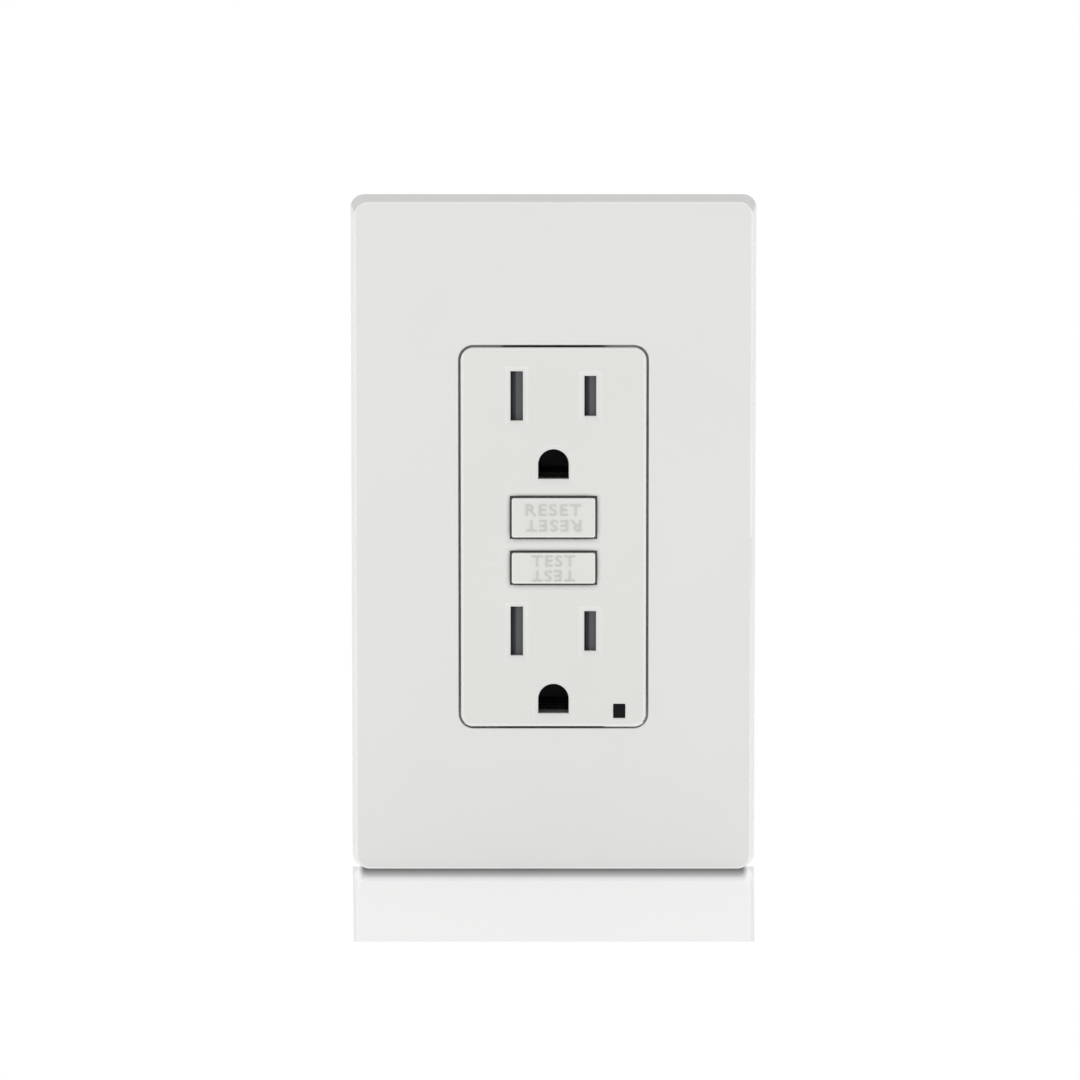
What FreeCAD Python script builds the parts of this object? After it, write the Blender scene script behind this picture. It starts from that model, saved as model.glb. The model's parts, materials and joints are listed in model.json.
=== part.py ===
"""Ground-fault outlet under a screwless wall plate, in millimetres.

X runs right, +Y runs back into the wall box and +Z runs up. The origin is the device's centre on the wall
plane: the back of the mounting strap's ears and of the wall plate's rim lie at y = 0, and the face is at
negative y. Hot is on the right (+X, the narrow slots), neutral on the left. The device is drawn tripped: the
reset button is out, the contacts are open and the side terminals are backed off to take a wire.
"""
import FreeCAD, Part

import os
import re

import Sketcher

Vector = FreeCAD.Vector

DIMENSIONS = {
    # wall plate
    "plate_width": 70.1,
    "plate_height": 117.9,
    "plate_reach": 6.4,
    "plate_wall": 1.8,
    "plate_taper": 7.1,
    "plate_corner": 2.4,
    "plate_edge": 0.4,
    "plate_inner_width": 65.8,
    "plate_inner_height": 112.6,
    "opening_width": 32.75,
    "opening_height": 66.8,
    "opening_corner": 2.5,
    "opening_edge": 0.45,
    "catch_start": 12.0,
    "catch_end": 19.0,
    "catch_inner": 56.3,
    # carrier plate under the wall plate
    "carrier_width": 64.6,
    "carrier_height": 111.8,
    "carrier_sheet": 1.6,
    "carrier_rim": 1.2,
    "carrier_opening_width": 36.4,
    "carrier_opening_height": 68.8,
    # mounting strap
    "strap_sheet": 1.2,
    "strap_length": 106.4,
    "strap_ear": 20.3,
    "strap_neck": 9.0,
    "strap_end": 34.0,
    "bridge_front": 4.8,
    "bridge_waist": 3.4,
    "box_screw_height": 41.67,
    "plate_screw_height": 48.42,
    "small_screw_radius": 1.72,
    "screw_neck_radius": 1.6,
    "screw_neck": 1.67,
    "retainer_front": 0.02,
    "retainer_back": 0.42,
    "retainer_width": 8.4,
    "retainer_height": 7.4,
    # body
    "body_width": 43.5,
    "body_height": 67.5,
    "body_back": 27.5,
    "parting": 6.0,
    "case_screw_across": 17.4,
    "case_screw_height": 28.6,
    "cavity_back": 25.7,
    "cavity_half": 13.0,
    "cavity_wing": 20.1,
    "cavity_end": 32.1,
    "shell_wall": 1.6,
    "bay_floor": 14.6,
    "bay_inner": 8.6,
    "bay_outer": 21.4,
    "slab_back": 8.6,
    # face
    "face_width": 32.05,
    "face_height": 66.1,
    "face_reach": 7.0,
    "face_wall": 1.8,
    "face_corner": 2.2,
    "face_round": 0.7,
    "flange_front": 0.6,
    "flange_width": 43.0,
    "flange_height": 67.0,
    # outlets
    "blade_centre": 6.35,
    "upper_blades": 24.6,
    "lower_blades": -16.4,
    "ground_drop": 11.9,
    "neutral_slot_width": 2.15,
    "neutral_slot_height": 8.6,
    "hot_slot_width": 2.05,
    "hot_slot_height": 7.0,
    "ground_radius": 2.65,
    "ground_flat": 2.55,
    "slot_bevel": 0.9,
    "blade_thickness": 1.52,
    "leaf": 0.7,
    "leaf_half": 3.9,
    # buttons
    "reset_height": 3.5,
    "reset_half": 3.75,
    "test_height": -5.3,
    "test_half": 3.0,
    "button_half": 7.55,
    "button_gap": 0.34,
    "button_proud": 0.3,
    "button_back": 2.2,
    "pin_height": 3.3,
    "pin_radius": 1.2,
    # indicator
    "lens_across": 11.4,
    "lens_height": -30.3,
    "lens_width": 2.0,
    "lens_tall": 2.4,
    # shutters
    "shutter_front": 5.1,
    "shutter_back": 3.1,
    "shutter_half": 5.4,
    "shutter_left": 11.4,
    "shutter_right": 8.4,
    "shutter_throw": 2.6,
    # terminals
    "terminal_height": 15.0,
    "terminal_depth": 16.5,
    "terminal_sheet": 1.0,
    "terminal_screw_radius": 2.05,
    "terminal_head_radius": 4.1,
    "terminal_head": 2.3,
    "clamp_sheet": 1.4,
    "wire_gap": 2.1,
    "wire_hole": 1.6,
    "running_gap": 0.04,
    "ground_screw_across": -15.5,
    "ground_screw_depth": 13.0,
    # contacts and lifter
    "contact_centre": 10.7,
    "contact_half": 1.4,
    "contact_height": 8.5,
    "contact_radius": 1.4,
    "arm_pivot": -6.0,
    "arm_front": 15.6,
    "arm_sheet": 0.6,
    "fixed_foot": 11.2,
    "lifter_front": 16.6,
    "lifter_back": 20.6,
    # trip solenoid
    "solenoid_depth": 17.4,
    "solenoid_low": 17.4,
    "solenoid_high": 31.4,
    "solenoid_sheet": 1.0,
    "coil_radius": 4.1,
    # board and current transformers
    "board_front": 22.8,
    "board_sheet": 1.6,
    "ring_height": -14.4,
    "ring_radius": 9.6,
    "ring_front": 12.5,
    "ring_back": 22.5,
    # joins and hairline clearances
    "weld": 0.1,
    "hair": 0.02,
    # wall plate's catches and ribs
    "catch_height": 1.2,
    "catch_front": 1.1,
    "catch_back": 0.3,
    "rib_across": 27.0,
    "rib_height": 20.0,
    "rib_half": 14.0,
    "rib_sheet": 1.0,
    "rib_back": 3.2,
    # carrier's rim, windows and ridges
    "rim_inset": 1.2,
    "rim_back": 0.4,
    "head_window_radius": 4.4,
    "ridge_across": 24.0,
    "ridge_height": 27.0,
    "ridge_half": 14.0,
    "ridge_sheet": 1.2,
    "ridge_reach": 0.8,
    "free_gap": 0.1,
    # strap's outline and holes
    "ear_foot": 38.2,
    "ear_cut": 1.6,
    "tip_notch": 0.8,
    "notch_half": 3.0,
    "notch_floor": 2.2,
    "leg_end": 30.5,
    "upper_waist": 18.7,
    "lower_waist": 22.3,
    "bridge_half": 8.5,
    "bridge_step": 10.5,
    "rivet_across": 5.6,
    "rivet_hole": 0.92,
    "ground_window": 2.8,
    "ground_window_top": 2.9,
    "box_slot_width": 6.6,
    "box_slot_height": 4.2,
    "breakoff_across": 12.4,
    "breakoff_radius": 0.8,
    "breakoff_start": 40.6,
    "breakoff_step": 5.0,
    # grounding contacts
    "contact_base_width": 15.2,
    "contact_base_height": 7.0,
    "clip_half": 2.45,
    "clip_flare": 0.45,
    "clip_window_half": 2.7,
    "clip_sheet": 0.6,
    "clip_throat": 0.4,
    "clip_tip": 1.6,
    "clip_width_half": 2.4,
    "contact_sheet": 0.8,
    # front cover's bosses, bevels and stops
    "case_boss": 2.8,
    "case_pilot": 1.34,
    "case_bore": 1.5,
    "case_head_recess": 2.8,
    "case_screw_seat": 25.3,
    "boss_front": 1.0,
    "pilot_front": 1.4,
    "button_bevel": 0.75,
    "lens_gap": 0.1,
    "lens_bevel": 0.25,
    "shutter_stop_inner": 13.7,
    "shutter_stop_outer": 15.0,
    "shutter_stop_half": 2.4,
    # rear housing's bays, posts and label recess
    "cavity_step": 7.0,
    "bay_front": 9.0,
    "bay_back": 25.9,
    "tip_radius": 2.4,
    "entry_front": 25.8,
    "wire_spread": 3.7,
    "ground_relief": 30.9,
    "ground_relief_radius": 2.5,
    "post_across": 10.6,
    "post_low": 30.2,
    "post_high": 30.4,
    "post_radius": 1.4,
    "post_hole": 0.7,
    "panel_width": 20.0,
    "panel_height": 30.0,
    "panel_depth": 0.4,
    # insulating deck
    "deck_gap": 0.15,
    "well_inner": 3.75,
    "well_outer": 9.4,
    "well_floor": 4.45,
    "well_half": 5.6,
    "well_wall": 0.65,
    "well_front": 3.0,
    "cup_inner": 3.65,
    "cup_outer": 9.3,
    "cup_half": 5.8,
    "pocket_outer": 8.5,
    "pocket_half": 5.0,
    "pocket_back": 11.6,
    "cup_back": 12.3,
    "ground_cup_half": 3.6,
    "ground_wall": 0.8,
    "ground_cup_back": 14.9,
    "ground_pocket_back": 14.1,
    "pin_cup_radius": 2.6,
    "pin_cup_back": 13.0,
    "pin_gap": 0.06,
    "stem_drop": 0.5,
    "leg_across": 10.6,
    # buttons and reset pin
    "button_round": 0.35,
    "button_flange_front": 5.1,
    "button_flange_back": 4.0,
    "button_hollow": 5.7,
    "pin_shoulder": 20.5,
    "pin_neck": 0.8,
    "pin_length": 25.3,
    "pin_seat": 5.15,
    # terminal plates and clamps
    "plate_outer": 20.0,
    "plate_inner": 9.1,
    "plate_back": 20.6,
    "tab_height": 1.0,
    "tail_across": 11.4,
    "clamp_width": 8.0,
    "clamp_height": 11.0,
    "clamp_gap": 0.2,
    # lifter and latch
    "lifter_half": 6.2,
    "wing_half": 12.1,
    "latch_front": 18.4,
    "latch_sheet": 0.6,
    "latch_half": 2.6,
    "latch_top": 8.0,
    # solenoid's bobbin and yoke
    "bobbin_bore": 2.35,
    "bobbin_tube": 2.9,
    "bobbin_flange": 0.8,
    "yoke_half": 4.6,
}

ALIAS = re.compile(r"\b(" + "|".join(DIMENSIONS) + r")\b")
PLANES = {"XZ": ("XZ_Plane", -1), "XY": ("XY_Plane", 1), "YZ": ("YZ_Plane", 1)}
SIDES = {"hot": 1, "neutral": -1}
OUTLETS = {"upper": "upper_blades", "lower": "lower_blades"}
TINY = 1e-4

doc = FreeCAD.newDocument("ground_fault_outlet")


# ---------------------------------------------------------------------------------------------------------
# Sheet, outlines and features
# ---------------------------------------------------------------------------------------------------------
def make_sheet():
    """Puts the driving dimensions in a spreadsheet, one plain number to a cell."""
    sheet = doc.addObject("Spreadsheet::Sheet", "dims")
    for row, (alias, number) in enumerate(DIMENSIONS.items(), start=1):
        sheet.set(f"A{row}", str(number))
        sheet.setAlias(f"A{row}", alias)
    doc.recompute()
    return sheet


def bound(text):
    """Turns the aliases in a formula into references to the sheet."""
    return ALIAS.sub(r"dims.\1", str(text))


def value(text):
    """The number that a formula stands for now."""
    return float(sheet.evalExpression(bound(text)))


def hold(sketch, edge, point, across, up):
    """Ties one point of a sketch to two formulas."""
    for kind, text in (("DistanceX", across), ("DistanceY", up)):
        constraint = Sketcher.Constraint(kind, -1, 1, edge, point, value(text))
        number = sketch.addConstraint(constraint)
        sketch.setExpression(f"Constraints[{number}]", bound(text))


def polygon(points):
    """An outline of straight edges through the points."""
    def draw(sketch):
        first = sketch.GeometryCount
        corners = [Vector(value(across), value(up), 0) for across, up in points]
        for start, end in zip(corners, corners[1:] + corners[:1]):
            sketch.addGeometry(Part.LineSegment(start, end), False)
        for index, (across, up) in enumerate(points):
            following = first + (index + 1) % len(points)
            sketch.addConstraint(Sketcher.Constraint("Coincident", first + index, 2, following, 1))
            hold(sketch, first + index, 1, across, up)
    return draw


def rectangle(left, right, low, high):
    return polygon([(left, low), (right, low), (right, high), (left, high)])


def centred(width, height, across=0, up=0):
    """A rectangle of a width and a height about a centre."""
    return rectangle(
        f"{across} - ({width}) / 2",
        f"{across} + ({width}) / 2",
        f"{up} - ({height}) / 2",
        f"{up} + ({height}) / 2",
    )


def disc(across, up, radius):
    """A full circle."""
    def draw(sketch):
        centre = Vector(value(across), value(up), 0)
        edge = sketch.addGeometry(Part.Circle(centre, Vector(0, 0, 1), value(radius)), False)
        number = sketch.addConstraint(Sketcher.Constraint("Radius", edge, value(radius)))
        sketch.setExpression(f"Constraints[{number}]", bound(radius))
        hold(sketch, edge, 3, across, up)
    return draw


def dee(up, radius, flat):
    """A grounding hole's outline: a half circle over straight sides and a flat bottom."""
    def draw(sketch):
        reach = value(radius)
        height = value(up)
        bottom = height - value(flat)
        corners = [
            Vector(-reach, height, 0),
            Vector(-reach, bottom, 0),
            Vector(reach, bottom, 0),
            Vector(reach, height, 0),
        ]
        first = sketch.GeometryCount
        for start, end in zip(corners, corners[1:]):
            sketch.addGeometry(Part.LineSegment(start, end), False)
        crown = Part.Arc(corners[3], Vector(0, height + reach, 0), corners[0])
        arc = sketch.addGeometry(crown, False)
        for index in range(2):
            sketch.addConstraint(Sketcher.Constraint("Coincident", first + index, 2, first + index + 1, 1))
        sketch.addConstraint(Sketcher.Constraint("Coincident", first + 2, 2, arc, 1))
        sketch.addConstraint(Sketcher.Constraint("Coincident", arc, 2, first, 1))
        hold(sketch, first, 1, f"-({radius})", up)
        hold(sketch, first + 1, 1, f"-({radius})", f"{up} - ({flat})")
        hold(sketch, first + 2, 1, radius, f"{up} - ({flat})")
        hold(sketch, first + 2, 2, radius, up)
        number = sketch.addConstraint(Sketcher.Constraint("DistanceY", -1, 1, arc, 3, height))
        sketch.setExpression(f"Constraints[{number}]", bound(up))
    return draw


def new_body(name):
    return doc.addObject("PartDesign::Body", name)


def sketch_on(body, plane, position, shapes):
    """Draws shapes on one of the body's own origin planes, moved to a position along its normal."""
    role, sign = PLANES[plane]
    origin_plane = next(item for item in body.Origin.OriginFeatures if item.Role == role)
    sketch = body.newObject("Sketcher::SketchObject", f"{body.Name}_outline")
    sketch.AttachmentSupport = [(origin_plane, "")]
    sketch.MapMode = "FlatFace"
    sketch.setExpression("AttachmentOffset.Base.z", bound(f"{sign} * ({position})"))
    for shape in shapes:
        shape(sketch)
    return sketch


def add(body, plane, start, end, *shapes, taper=0):
    """Pads shapes from start to end along the plane's normal axis."""
    base = end if plane == "XZ" else start
    pad = body.newObject("PartDesign::Pad", f"{body.Name}_pad")
    pad.Profile = sketch_on(body, plane, base, shapes)
    pad.setExpression("Length", bound(f"({end}) - ({start})"))
    pad.setExpression("TaperAngle", bound(taper))
    body.Tip = pad
    doc.recompute()
    return pad


def cut(body, plane, start, end, *shapes, taper=0):
    """Pockets shapes from start to end, and makes sure that something was cut."""
    before = body.Shape.Volume
    base = start if plane == "XZ" else end
    pocket = body.newObject("PartDesign::Pocket", f"{body.Name}_pocket")
    pocket.Profile = sketch_on(body, plane, base, shapes)
    pocket.setExpression("Length", bound(f"({end}) - ({start})"))
    pocket.setExpression("TaperAngle", bound(taper))
    body.Tip = pocket
    doc.recompute()
    if body.Shape.Volume > before - TINY:
        raise RuntimeError(f"{pocket.Name} cuts nothing")
    return pocket


def spin(body, profile):
    """Revolves an outline of (radius, height) points about the body's own Z axis."""
    revolution = body.newObject("PartDesign::Revolution", f"{body.Name}_revolution")
    sketch = sketch_on(body, "XZ", "0", [profile])
    revolution.Profile = sketch
    revolution.ReferenceAxis = (sketch, ["V_Axis"])
    revolution.Angle = 360
    body.Tip = revolution
    doc.recompute()
    return revolution


def dress(body, kind, size, chosen):
    """Rounds (Fillet) or bevels (Chamfer) the edges that a test picks."""
    base = body.Tip
    names = [f"Edge{number}" for number, edge in enumerate(base.Shape.Edges, start=1) if chosen(edge)]
    if not names:
        raise RuntimeError(f"{body.Name} has no edge to {kind.lower()}")
    feature = body.newObject(f"PartDesign::{kind}", f"{body.Name}_{kind.lower()}")
    feature.Base = (base, names)
    feature.setExpression("Radius" if kind == "Fillet" else "Size", bound(size))
    body.Tip = feature
    doc.recompute()


def on_level(depth, left="-1000", right="1000", low="-1000", high="1000"):
    """Picks the edges that lie on a plane of constant y, inside a window."""
    window = [value(depth), value(left), value(right), value(low), value(high)]

    def chosen(edge):
        box = edge.BoundBox
        level, west, east, south, north = window
        flat = abs(box.YMin - level) < TINY and abs(box.YMax - level) < TINY
        return flat and box.XMin > west and box.XMax < east and box.ZMin > south and box.ZMax < north
    return chosen


def along_depth(front, back, left="-1000", right="1000", low="-1000", high="1000"):
    """Picks straight edges that run from one y to another, inside a window."""
    window = [value(text) for text in (front, back, left, right, low, high)]

    def chosen(edge):
        box = edge.BoundBox
        start, end, west, east, south, north = window
        runs = abs(box.YMin - start) < TINY and abs(box.YMax - end) < TINY and end > start
        thin = len(edge.Vertexes) == 2 and box.XLength < 1.5 and box.ZLength < 1.5
        return runs and thin and box.XMin > west and box.XMax < east and box.ZMin > south and box.ZMax < north
    return chosen


def place(thing, across, depth, up, direction):
    """Puts a body's origin at a point, with its own Z axis along a direction."""
    thing.Placement = FreeCAD.Placement(Vector(0, 0, 0), FreeCAD.Rotation(Vector(0, 0, 1), direction))
    for axis, text in zip("xyz", (across, depth, up)):
        thing.setExpression(f"Placement.Base.{axis}", bound(text))


def group(name, things):
    """Keeps identical pieces together as one sub-part of separate solids."""
    compound = doc.addObject("Part::Compound", name)
    compound.Links = things
    return compound


def coil(name, radius, wire, length, turns):
    """An open wound spring along its body's own Z axis, from 0 to its length."""
    body = new_body(name)
    helix = body.newObject("PartDesign::AdditiveHelix", f"{name}_helix")
    sketch = sketch_on(body, "XZ", "0", [disc(radius, wire, wire)])
    helix.Profile = sketch
    helix.ReferenceAxis = (sketch, ["V_Axis"])
    helix.Mode = "height-turns-angle"
    helix.setExpression("Height", bound(f"({length}) - 2 * ({wire})"))
    helix.Turns = turns
    body.Tip = helix
    doc.recompute()
    return body


# ---------------------------------------------------------------------------------------------------------
# Wall plate and its carrier
# ---------------------------------------------------------------------------------------------------------
def make_wallplate():
    """A flat, tapered push-fit cover with one rectangular opening."""
    body = new_body("wallplate")
    front = "-plate_reach"
    inside = "-(plate_reach - plate_wall)"
    add(body, "XZ", front, "0", centred("plate_width", "plate_height"), taper="-plate_taper")
    dress(body, "Fillet", "plate_corner", along_depth(front, "0"))
    dress(body, "Fillet", "plate_edge", on_level(front))
    cut(body, "XZ", inside, "0", centred("plate_inner_width", "plate_inner_height"), taper="plate_taper / 2")
    cut(body, "XZ", front, inside, centred("opening_width", "opening_height"))
    inner = ("-opening_width", "opening_width", "-opening_height", "opening_height")
    window = [f"{text} / 2 {sign} 1" for text, sign in zip(inner, "-+-+")]
    dress(body, "Fillet", "opening_corner", along_depth(front, inside, *window))
    dress(body, "Fillet", "opening_edge", on_level(front, *window))
    catch_top = "catch_inner + catch_height"
    catches = [
        rectangle(*span, *height)
        for span in (("catch_start", "catch_end"), ("-catch_end", "-catch_start"))
        for height in (("catch_inner", catch_top), (f"-({catch_top})", "-catch_inner"))
    ]
    add(body, "XZ", "-catch_front", "-catch_back", *catches)
    ribs = [
        centred("rib_sheet", "2 * rib_half", f"{side} * rib_across", f"{end} * rib_height")
        for side in (-1, 1)
        for end in (-1, 1)
    ]
    add(body, "XZ", f"{inside} - weld", "-rib_back", *ribs)
    return body


def make_carrier():
    """The sub-plate that is screwed to the strap, with a rim that the cover clips over."""
    body = new_body("subplate")
    front = "-(strap_sheet + carrier_sheet)"
    add(body, "XZ", front, "-strap_sheet", centred("carrier_width", "carrier_height"))
    dress(body, "Fillet", "plate_corner", along_depth(front, "-strap_sheet"))
    rim = centred("carrier_width - rim_inset", "carrier_height - rim_inset")
    rim_width = "carrier_width - rim_inset - 2 * carrier_rim"
    rim_height = "carrier_height - rim_inset - 2 * carrier_rim"
    inner = centred(rim_width, rim_height)
    add(body, "XZ", "-strap_sheet", "-rim_back", rim, inner)
    cut(body, "XZ", front, "-strap_sheet", centred("carrier_opening_width", "carrier_opening_height"))
    screw_windows = [disc("0", f"{end} * box_screw_height", "head_window_radius") for end in (-1, 1)]
    hole = "small_screw_radius + free_gap"
    screw_holes = [disc("0", f"{end} * plate_screw_height", hole) for end in (-1, 1)]
    slots = [
        centred("7", "1.6", f"{side} * 15.5", f"{end} * 52.2")
        for side in (-1, 1)
        for end in (-1, 1)
    ]
    cut(body, "XZ", front, "-strap_sheet", *screw_windows, *screw_holes, *slots)
    dress(body, "Fillet", "0.4", on_level(front, "-25", "25", "-45", "45"))
    ridges = [
        centred("ridge_sheet", "2 * ridge_half", f"{side} * ridge_across", f"{end} * ridge_height")
        for side in (-1, 1)
        for end in (-1, 1)
    ]
    add(body, "XZ", f"{front} - ridge_reach", f"{front} + weld", *ridges)
    return body


def cross_recess(size, width):
    """The plus-shaped outline of a driver recess."""
    reach = f"({size}) / 2"
    half = f"({width}) / 2"
    quarter = [(reach, half), (half, half), (half, reach)]
    points = []
    for across_sign, up_sign, order in ((1, 1, 1), (-1, 1, -1), (-1, -1, 1), (1, -1, -1)):
        corner = [(f"{across_sign} * {a}", f"{up_sign} * {u}") for a, u in quarter]
        points += corner[::order]
    return polygon(points)


def make_screw(name, length, shank_radius, head_radius, head, crown=0.6, necked=False):
    """A machine screw: its head's seat is at its own z = 0, the head is above and the shank below."""
    body = new_body(name)
    neck = [("screw_neck_radius", "-screw_neck"), ("screw_neck_radius", "0")]
    shank = [(shank_radius, "-screw_neck"), *neck] if necked else [(shank_radius, "0")]
    profile = polygon([
        ("0", f"-({length})"),
        (f"{shank_radius} - 0.4", f"-({length})"),
        (shank_radius, f"-({length}) + 0.7"),
        *shank,
        (head_radius, "0"),
        (head_radius, f"({head}) * {crown}"),
        (f"({head_radius}) * 0.7", head),
        ("0", head),
    ])
    spin(body, profile)
    cut(body, "XY", f"({head}) * 0.35", f"({head}) + 1", cross_recess(f"({head_radius}) * 1.25", "1"))
    return body


def make_pair_of_screws(name, height, seat, length, head_radius, head, necked=False):
    """Two equal screws, one above and one below the device, pointing back."""
    screws = []
    for end in (1, -1):
        screw = make_screw(f"{name}_{'top' if end > 0 else 'bottom'}", length, "small_screw_radius",
                           head_radius, head, necked=necked)
        place(screw, "0", seat, f"{end} * {height}", Vector(0, -1, 0))
        screws.append(screw)
    return group(name, screws)


def make_subplate_screws():
    """The two short screws that hold the carrier to the strap."""
    seat = "-(strap_sheet + carrier_sheet)"
    return make_pair_of_screws("subplate_screws", "plate_screw_height", seat, "7", "3.3", "1.2")


def make_mounting_screws():
    """The two necked screws that fasten the device to its wall box."""
    head = ("3.5", "1.9")
    seat = "-strap_sheet"
    return make_pair_of_screws("mounting_screws", "box_screw_height", seat, "22", *head, necked=True)


def make_screw_retainers():
    """Two fibre squares that grip the necks of the box screws behind the strap."""
    squares = []
    for end in (1, -1):
        square = new_body(f"screw_retainer_{'top' if end > 0 else 'bottom'}")
        height = f"{end} * box_screw_height"
        outline = centred("retainer_width", "retainer_height", "0", height)
        hole = disc("0", height, "screw_neck_radius + running_gap")
        add(square, "XZ", "retainer_front", "retainer_back", outline, hole)
        squares.append(square)
    return group("screw_retainers", squares)


# ---------------------------------------------------------------------------------------------------------
# Strap and grounding
# ---------------------------------------------------------------------------------------------------------
def make_strap():
    """The steel yoke: two wall ears, two legs and a bridge between the outlets' contacts."""
    body = new_body("mounting_strap")
    ears = []
    for end in (1, -1):
        half = [
            ("strap_neck", "strap_end"),
            ("strap_neck", "ear_foot"),
            ("strap_ear - ear_cut", "ear_foot"),
            ("strap_ear", "ear_foot + ear_cut"),
            ("strap_ear", "strap_length / 2 - ear_cut"),
            ("strap_ear - ear_cut", "strap_length / 2"),
            ("notch_half", "strap_length / 2"),
            ("notch_floor", "strap_length / 2 - tip_notch"),
        ]
        right = [(across, f"{end} * ({up})") for across, up in half]
        left = [(f"-({across})", up) for across, up in reversed(right)]
        ears.append(polygon(right + left))
    add(body, "XZ", "-strap_sheet", "0", *ears)
    legs = [
        rectangle("-strap_neck", "strap_neck", f"{end} * strap_end", f"{end} * (strap_end + strap_sheet)")
        for end in (1, -1)
    ]
    add(body, "XZ", "-strap_sheet", "bridge_front + strap_sheet", *legs)
    right = [
        ("strap_neck", "strap_end + strap_sheet"),
        ("strap_neck", "leg_end"),
        ("bridge_waist", "leg_end"),
        ("bridge_waist", "upper_waist"),
        ("bridge_half", "upper_waist"),
        ("bridge_half", "-bridge_step"),
        ("bridge_waist", "-bridge_step"),
        ("bridge_waist", "-lower_waist"),
        ("strap_neck", "-lower_waist"),
        ("strap_neck", "-(strap_end + strap_sheet)"),
    ]
    left = [(f"-({across})", up) for across, up in reversed(right)]
    add(body, "XZ", "bridge_front", "bridge_front + strap_sheet", polygon(right + left))
    tab = polygon([
        ("-8", "1.6"),
        ("-8", "bridge_front + strap_sheet"),
        ("-10.6", "8.6"),
        ("-10.6", "18.4"),
        ("-20.4", "18.4"),
        ("-20.4", "8"),
        ("-14", "1.6"),
    ])
    add(body, "XY", "-(strap_end + strap_sheet)", "-strap_end", tab)
    grounds = [
        rectangle("-ground_window", "ground_window", f"{blades} - ground_drop - ground_window",
                  f"{blades} - ground_drop + ground_window_top")
        for blades in OUTLETS.values()
    ]
    rivets = [
        disc(f"{side} * rivet_across", f"{blades} - ground_drop", "rivet_hole")
        for side in (-1, 1)
        for blades in OUTLETS.values()
    ]
    windows = rectangle("-4.2", "4.2", "-8.4", "7.4")
    cut(body, "XZ", "bridge_front", "bridge_front + strap_sheet", windows, *grounds, *rivets)
    slot = ("box_slot_width", "box_slot_height")
    slots = [centred(*slot, "0", f"{end} * box_screw_height") for end in (1, -1)]
    threads = [
        disc("0", f"{end} * plate_screw_height", "small_screw_radius + running_gap") for end in (1, -1)
    ]
    weakening = [
        disc(f"{side} * breakoff_across", f"{end} * ({height})", "breakoff_radius")
        for side in (-1, 1)
        for end in (-1, 1)
        for height in [f"breakoff_start + {row} * breakoff_step" for row in range(3)]
    ]
    cut(body, "XZ", "-strap_sheet", "0", *slots, *threads, *weakening)
    for end in ("38", "-45"):
        inside = ("-3.5", "3.5", end, f"{end} + 7")
        dress(body, "Fillet", "2", along_depth("-strap_sheet", "0", *inside))
    cut(body, "XY", "-(strap_end + strap_sheet)", "-strap_end",
        disc("ground_screw_across", "ground_screw_depth", "terminal_screw_radius + running_gap"))
    return body


def make_ground_contacts():
    """Two riveted U-shaped springs, one behind each grounding hole."""
    contacts = []
    for name, blades in OUTLETS.items():
        contact = new_body(f"{name}_ground_contact")
        centre = f"{blades} - ground_drop"
        base = centred("contact_base_width", "contact_base_height", "0", centre)
        window = centred("2 * clip_half", "2 * clip_window_half", "0", centre)
        holes = [disc(f"{side} * rivet_across", centre, "rivet_hole") for side in (-1, 1)]
        add(contact, "XZ", "bridge_front - contact_sheet", "bridge_front", base, window, *holes)
        for side in (-1, 1):
            leaf = [
                (f"{side} * clip_half", "bridge_front - contact_sheet / 2"),
                (f"{side} * clip_half", "clip_throat"),
                (f"{side} * (clip_half + clip_flare)", "-clip_tip"),
                (f"{side} * (clip_half + clip_flare + clip_sheet)", "-clip_tip"),
                (f"{side} * (clip_half + clip_sheet)", "clip_throat"),
                (f"{side} * (clip_half + clip_sheet)", "bridge_front - contact_sheet / 2"),
            ]
            add(contact, "XY", f"{centre} - clip_width_half", f"{centre} + clip_width_half", polygon(leaf))
        contacts.append(contact)
    return group("ground_contacts", contacts)


def make_ground_rivets():
    """Four rivets that fasten the grounding contacts to the strap."""
    rivets = []
    for name, blades in OUTLETS.items():
        for side in (-1, 1):
            rivet = new_body(f"{name}_rivet_{'right' if side > 0 else 'left'}")
            profile = polygon([
                ("0", "-1.2"),
                ("0.9", "-1.2"),
                ("0.9", "0.8"),
                ("1.5", "0.8"),
                ("1.2", "1.5"),
                ("0", "1.5"),
            ])
            spin(rivet, profile)
            up = f"{blades} - ground_drop"
            place(rivet, f"{side} * rivet_across", "bridge_front", up, Vector(0, -1, 0))
            rivets.append(rivet)
    return group("ground_contact_rivets", rivets)


# ---------------------------------------------------------------------------------------------------------
# Housings
# ---------------------------------------------------------------------------------------------------------
def slot_shapes():
    """The four blade slots and the two grounding holes of the face."""
    shapes = []
    for blades in OUTLETS.values():
        shapes.append(centred("neutral_slot_width", "neutral_slot_height", "-blade_centre", blades))
        shapes.append(centred("hot_slot_width", "hot_slot_height", "blade_centre", blades))
        shapes.append(dee(f"{blades} - ground_drop", "ground_radius", "ground_flat"))
    return shapes


def case_corners():
    """The places of the four long screws that hold the two housings together."""
    across, up = "case_screw_across", "case_screw_height"
    return [(f"{side} * {across}", f"{end} * {up}") for side in (-1, 1) for end in (-1, 1)]


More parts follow.
